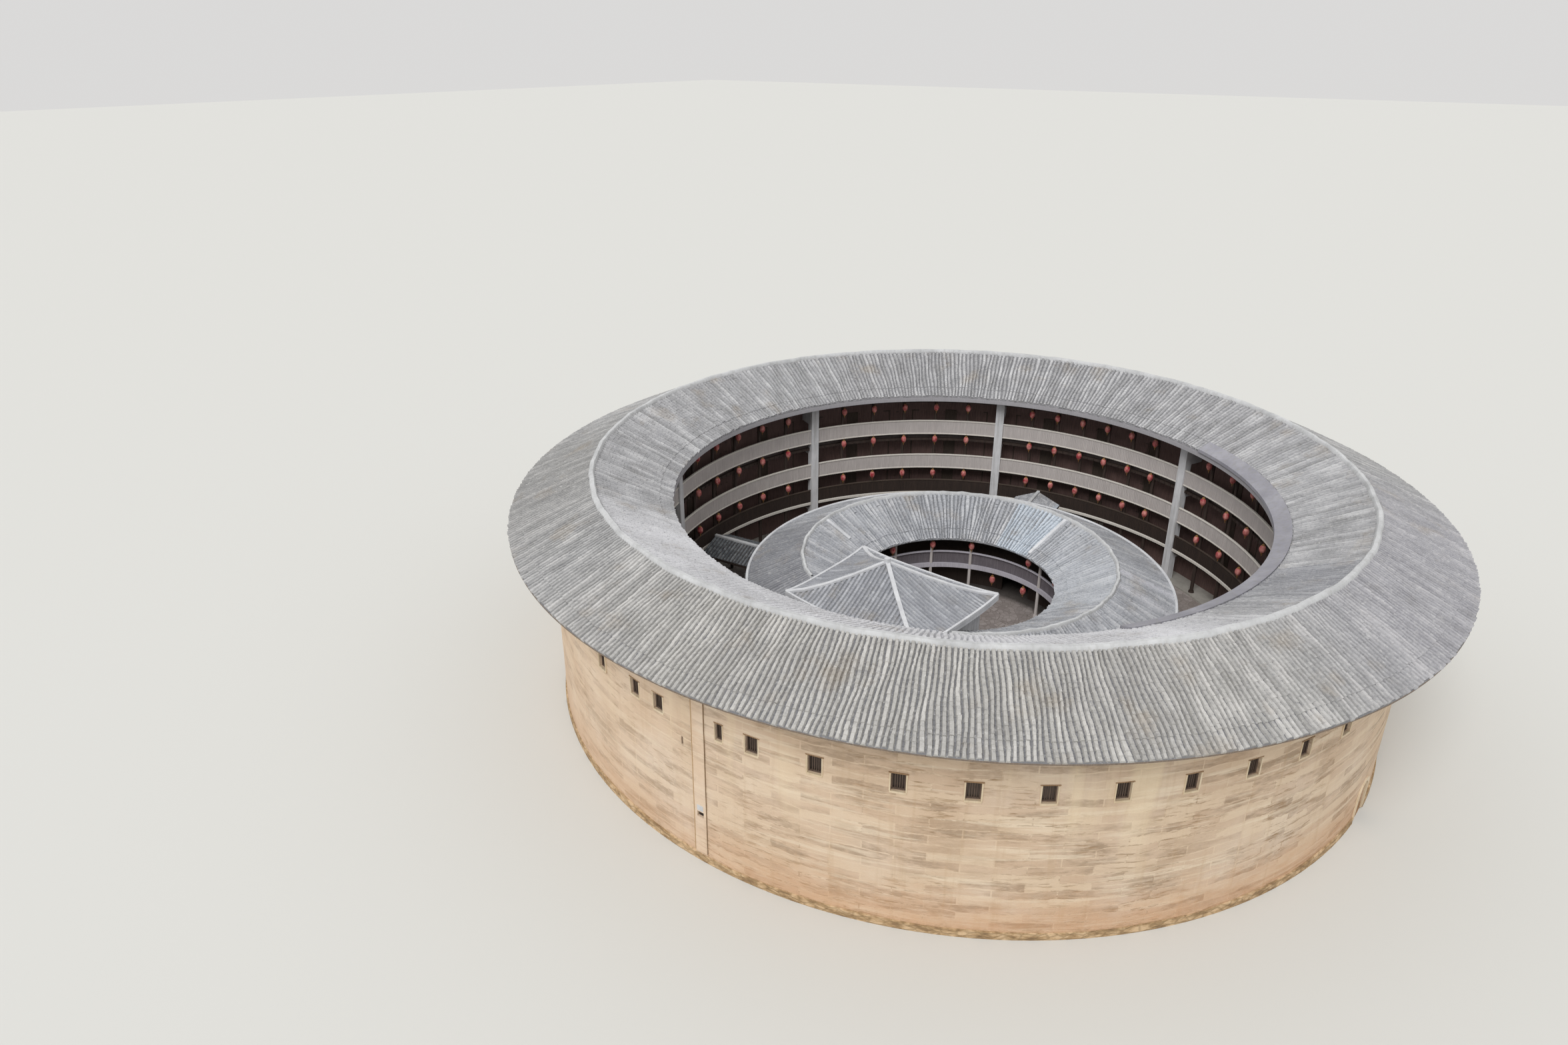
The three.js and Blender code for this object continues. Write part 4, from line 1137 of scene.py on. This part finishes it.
def ring_gallery():
    arc = math.radians(GALLERY_START), math.radians(GALLERY_TURN)
    floor, top, post_top = GALLERY_HEIGHTS
    edge = band(7.93, 8.1, floor - 0.36, floor, 96, *arc)
    rail = turned([(7.94, top - 0.11), (8.08, top - 0.11), (8.06, top), (7.96, top)], 96, *arc)
    finish_piece("ring_gallery_rails", [edge, rail], "ring rail")
    step = GALLERY_TURN / GALLERY_BOARDS
    board = slab((8.12, -0.045, floor - 0.05), (8.15, 0.045, top - 0.11))
    places = [at(GALLERY_START + step * (number + 0.5)) for number in range(GALLERY_BOARDS)]
    finish_piece("ring_gallery_boards", copied_to(board, places), "ring board", seed=17)
    post = [drum(0.13, 0.12, 0.25, post_top, 10), drum(0.2, 0.17, 0.17, 0.35, 10)]
    posts = copied_to(post, [at(azimuth, RING_POST_RADIUS) for azimuth in RING_POSTS])
    finish_piece("ring_gallery_posts", posts, "pale board",
                 stands_for=["inner_ring_gallery"], smooth=50)


# Hall


def hall_point(turn, out, aside):
    """The point of the roof at a share of the way out from the apex to one of its four eaves.

    The other share runs from -1 to 1 along that eave.
    """
    place = complex(out, aside) * 1j ** turn
    row = max(abs(place.real), abs(place.imag), 1e-6)
    across, along = place.real / row, place.imag / row
    front_west, front_east, back_east, back_west = (Vector(corner) for corner in HALL_CORNERS)
    front = front_west.lerp(front_east, (across + 1) / 2)
    back = back_west.lerp(back_east, (across + 1) / 2)
    plan = Vector(HALL_APEX).lerp(front.lerp(back, (along + 1) / 2), row)
    corner = (math.hypot(across, along) - 1) / (math.sqrt(2) - 1)
    rise = (HALL_TOP - HALL_EAVE) * (1 - min(row, 1)) ** HALL_CURVE
    return Vector((*plan, HALL_EAVE + rise + HALL_LIFT * corner ** 2 * row ** 4))


HALL_PITCH = 0.31
HALL_LAP = 0.88
TILE_LIFT = 0.05
# About as many tiles as a row has.
HALL_STREAK = 13


def hall_tiles():
    places = []
    for turn in range(4):
        rows = round((hall_point(turn, 1, 1) - hall_point(turn, 1, -1)).length / HALL_PITCH)
        step = COURSE * HALL_LAP / (hall_point(turn, 1, 0) - hall_point(turn, 0, 0)).length
        for row in range(rows):
            aside = (2 * row + 1) / rows - 1
            out = 1 - step / 2
            while out > abs(aside) + 0.02:
                low, high = (hall_point(turn, share, aside) for share in (out, out - step / 2))
                lifted = Matrix.Translation(low + UP * TILE_LIFT)
                places.append(lifted @ facing((low - high).normalized()))
                out -= step
    tiles = copied_to(cover_tile(COURSE, TILE_SHARE * HALL_PITCH), places)
    shade_rows(tiles, HALL_STREAK, 31)
    finish_piece("hall_cover_tiles", tiles, "hall tile")


def hall_verges():
    """A bank of lime along each eave of the hall, with a board below it."""
    banks, boards = [], []
    for turn in range(4):
        edge = [hall_point(turn, 1, step / 5 - 1) for step in range(11)]
        for start, end in zip(edge, edge[1:]):
            banks.append(bar_between(start, end, 0.16, -0.03, 0.17))
            boards.append(bar_between(start, end, 0.08, -0.34, -0.03))
    finish_piece("hall_verges", banks, "verge")
    finish_piece("hall_eave_boards", boards, "verge")


# Roofs over the ways between the rings

# Name, azimuth, half width, height of ridge and eave, outer end and finish.
PASSAGES = (
    ("front", -79.5, 1.95, 4.9, 4.05, 20, "mended tile"),
    ("east", 9.5, 2.1, 3.75, 2.95, 21.4, "way tile"),
    ("west", 170.5, 2.1, 3.75, 2.95, 21.4, "way tile"),
)
PASSAGE_START = 14.52
PASSAGE_PITCH = 0.3


def passage_tiles():
    for number, (name, azimuth, half, ridge, eave, end, finish) in enumerate(PASSAGES):
        turn, drop = at(azimuth), ridge - eave
        run = math.hypot(half, drop)
        slope = Matrix.Rotation(math.atan2(drop, half), 4, "Y")
        courses = round(run / COURSE)
        rows = round((end - PASSAGE_START) / PASSAGE_PITCH)
        places = []
        for side in (-1, 1):
            face = Matrix.Rotation(math.radians(90 * side), 4, "Z")
            for row in range(rows):
                along = PASSAGE_START + (end - PASSAGE_START) * (row + 0.5) / rows
                for course in range(courses):
                    share = (course + 0.5) / courses
                    place = (along, side * half * share, ridge - drop * share + TILE_LIFT)
                    places.append(turn @ Matrix.Translation(place) @ face @ slope)
        tiles = copied_to(cover_tile(run / courses * LAP, TILE_SHARE * PASSAGE_PITCH), places)
        finish_piece(name + "_way_tiles", tiles, finish, seed=40 + number)
        bank = placed(slab((PASSAGE_START, -0.14, ridge - 0.02), (end, 0.14, ridge + 0.2), 0.04), turn)
        finish_piece(name + "_way_ridge", bank, "lime")


# Carried-over solids

NODE_FINISHES = {
    "paving": ("court_floor",),
    "lime": ("gate_surround",),
    "patch": ("east_door_surround", "west_door_surround"),
    "strip plaster": ("back_strip",),
    "floor stone": ("ground_floor", "hall_floor"),
    "floor board": ("second_floor", "third_floor", "fourth_floor", "inner_ring_floor"),
    "plaster": ("fire_wall", "inner_ring_wall", "hall_walls"),
    "room timber": ("room_front",),
    "dark timber": ("inner_ring_front", "hall_front_frame", "front_passage", "east_passage", "west_passage"),
    "ring deck": ("hall_roof",),
    "verge": ("hall_hips",),
}


def finish_nodes():
    finish_by_node = {base: finish for finish, bases in NODE_FINISHES.items() for base in bases}
    for name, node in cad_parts.items():
        finish = finish_by_node.get(name.rstrip("0123456789").rstrip("_"))
        if finish:
            node.data.materials.clear()
            node.data.materials.append(FINISHES[finish])


# Studio

STUDIO_HALF = 400
SKY_STRENGTH = 0.8
SUN_STRENGTH = 1.7
SUN_ANGLE = 30
SUN_TURN = (42, 0, -165)


def studio():
    floor_shape = bmesh.new()
    bmesh.ops.create_grid(floor_shape, x_segments=1, y_segments=1, size=STUDIO_HALF)
    pale = Finish("pale studio floor", 0.9)
    pale.shader.inputs["Base Color"].default_value = linear("#d8d8d4")
    floor = new_object("studio_floor", mesh_of("studio_floor", floor_shape))
    floor.data.materials.append(pale.material)
    floor.location.z = -0.002
    world = bpy.data.worlds.new("soft studio")
    world.use_nodes = True
    sky = world.node_tree.nodes["Background"].inputs
    sky["Color"].default_value = linear("#f1f0ef")
    sky["Strength"].default_value = SKY_STRENGTH
    bpy.context.scene.world = world
    bpy.context.scene.view_settings.view_transform = "Standard"
    data = bpy.data.lights.new("key", "SUN")
    data.energy = SUN_STRENGTH
    data.angle = math.radians(SUN_ANGLE)
    new_object("key", data).rotation_euler = [math.radians(angle) for angle in SUN_TURN]


main_roofs()
earth_wall()
window_frames()
strip_details()
footing_bands()
galleries()
room_doors()
lanterns()
court_ring()
ring_gallery()
hall_tiles()
hall_verges()
passage_tiles()
finish_nodes()
studio()
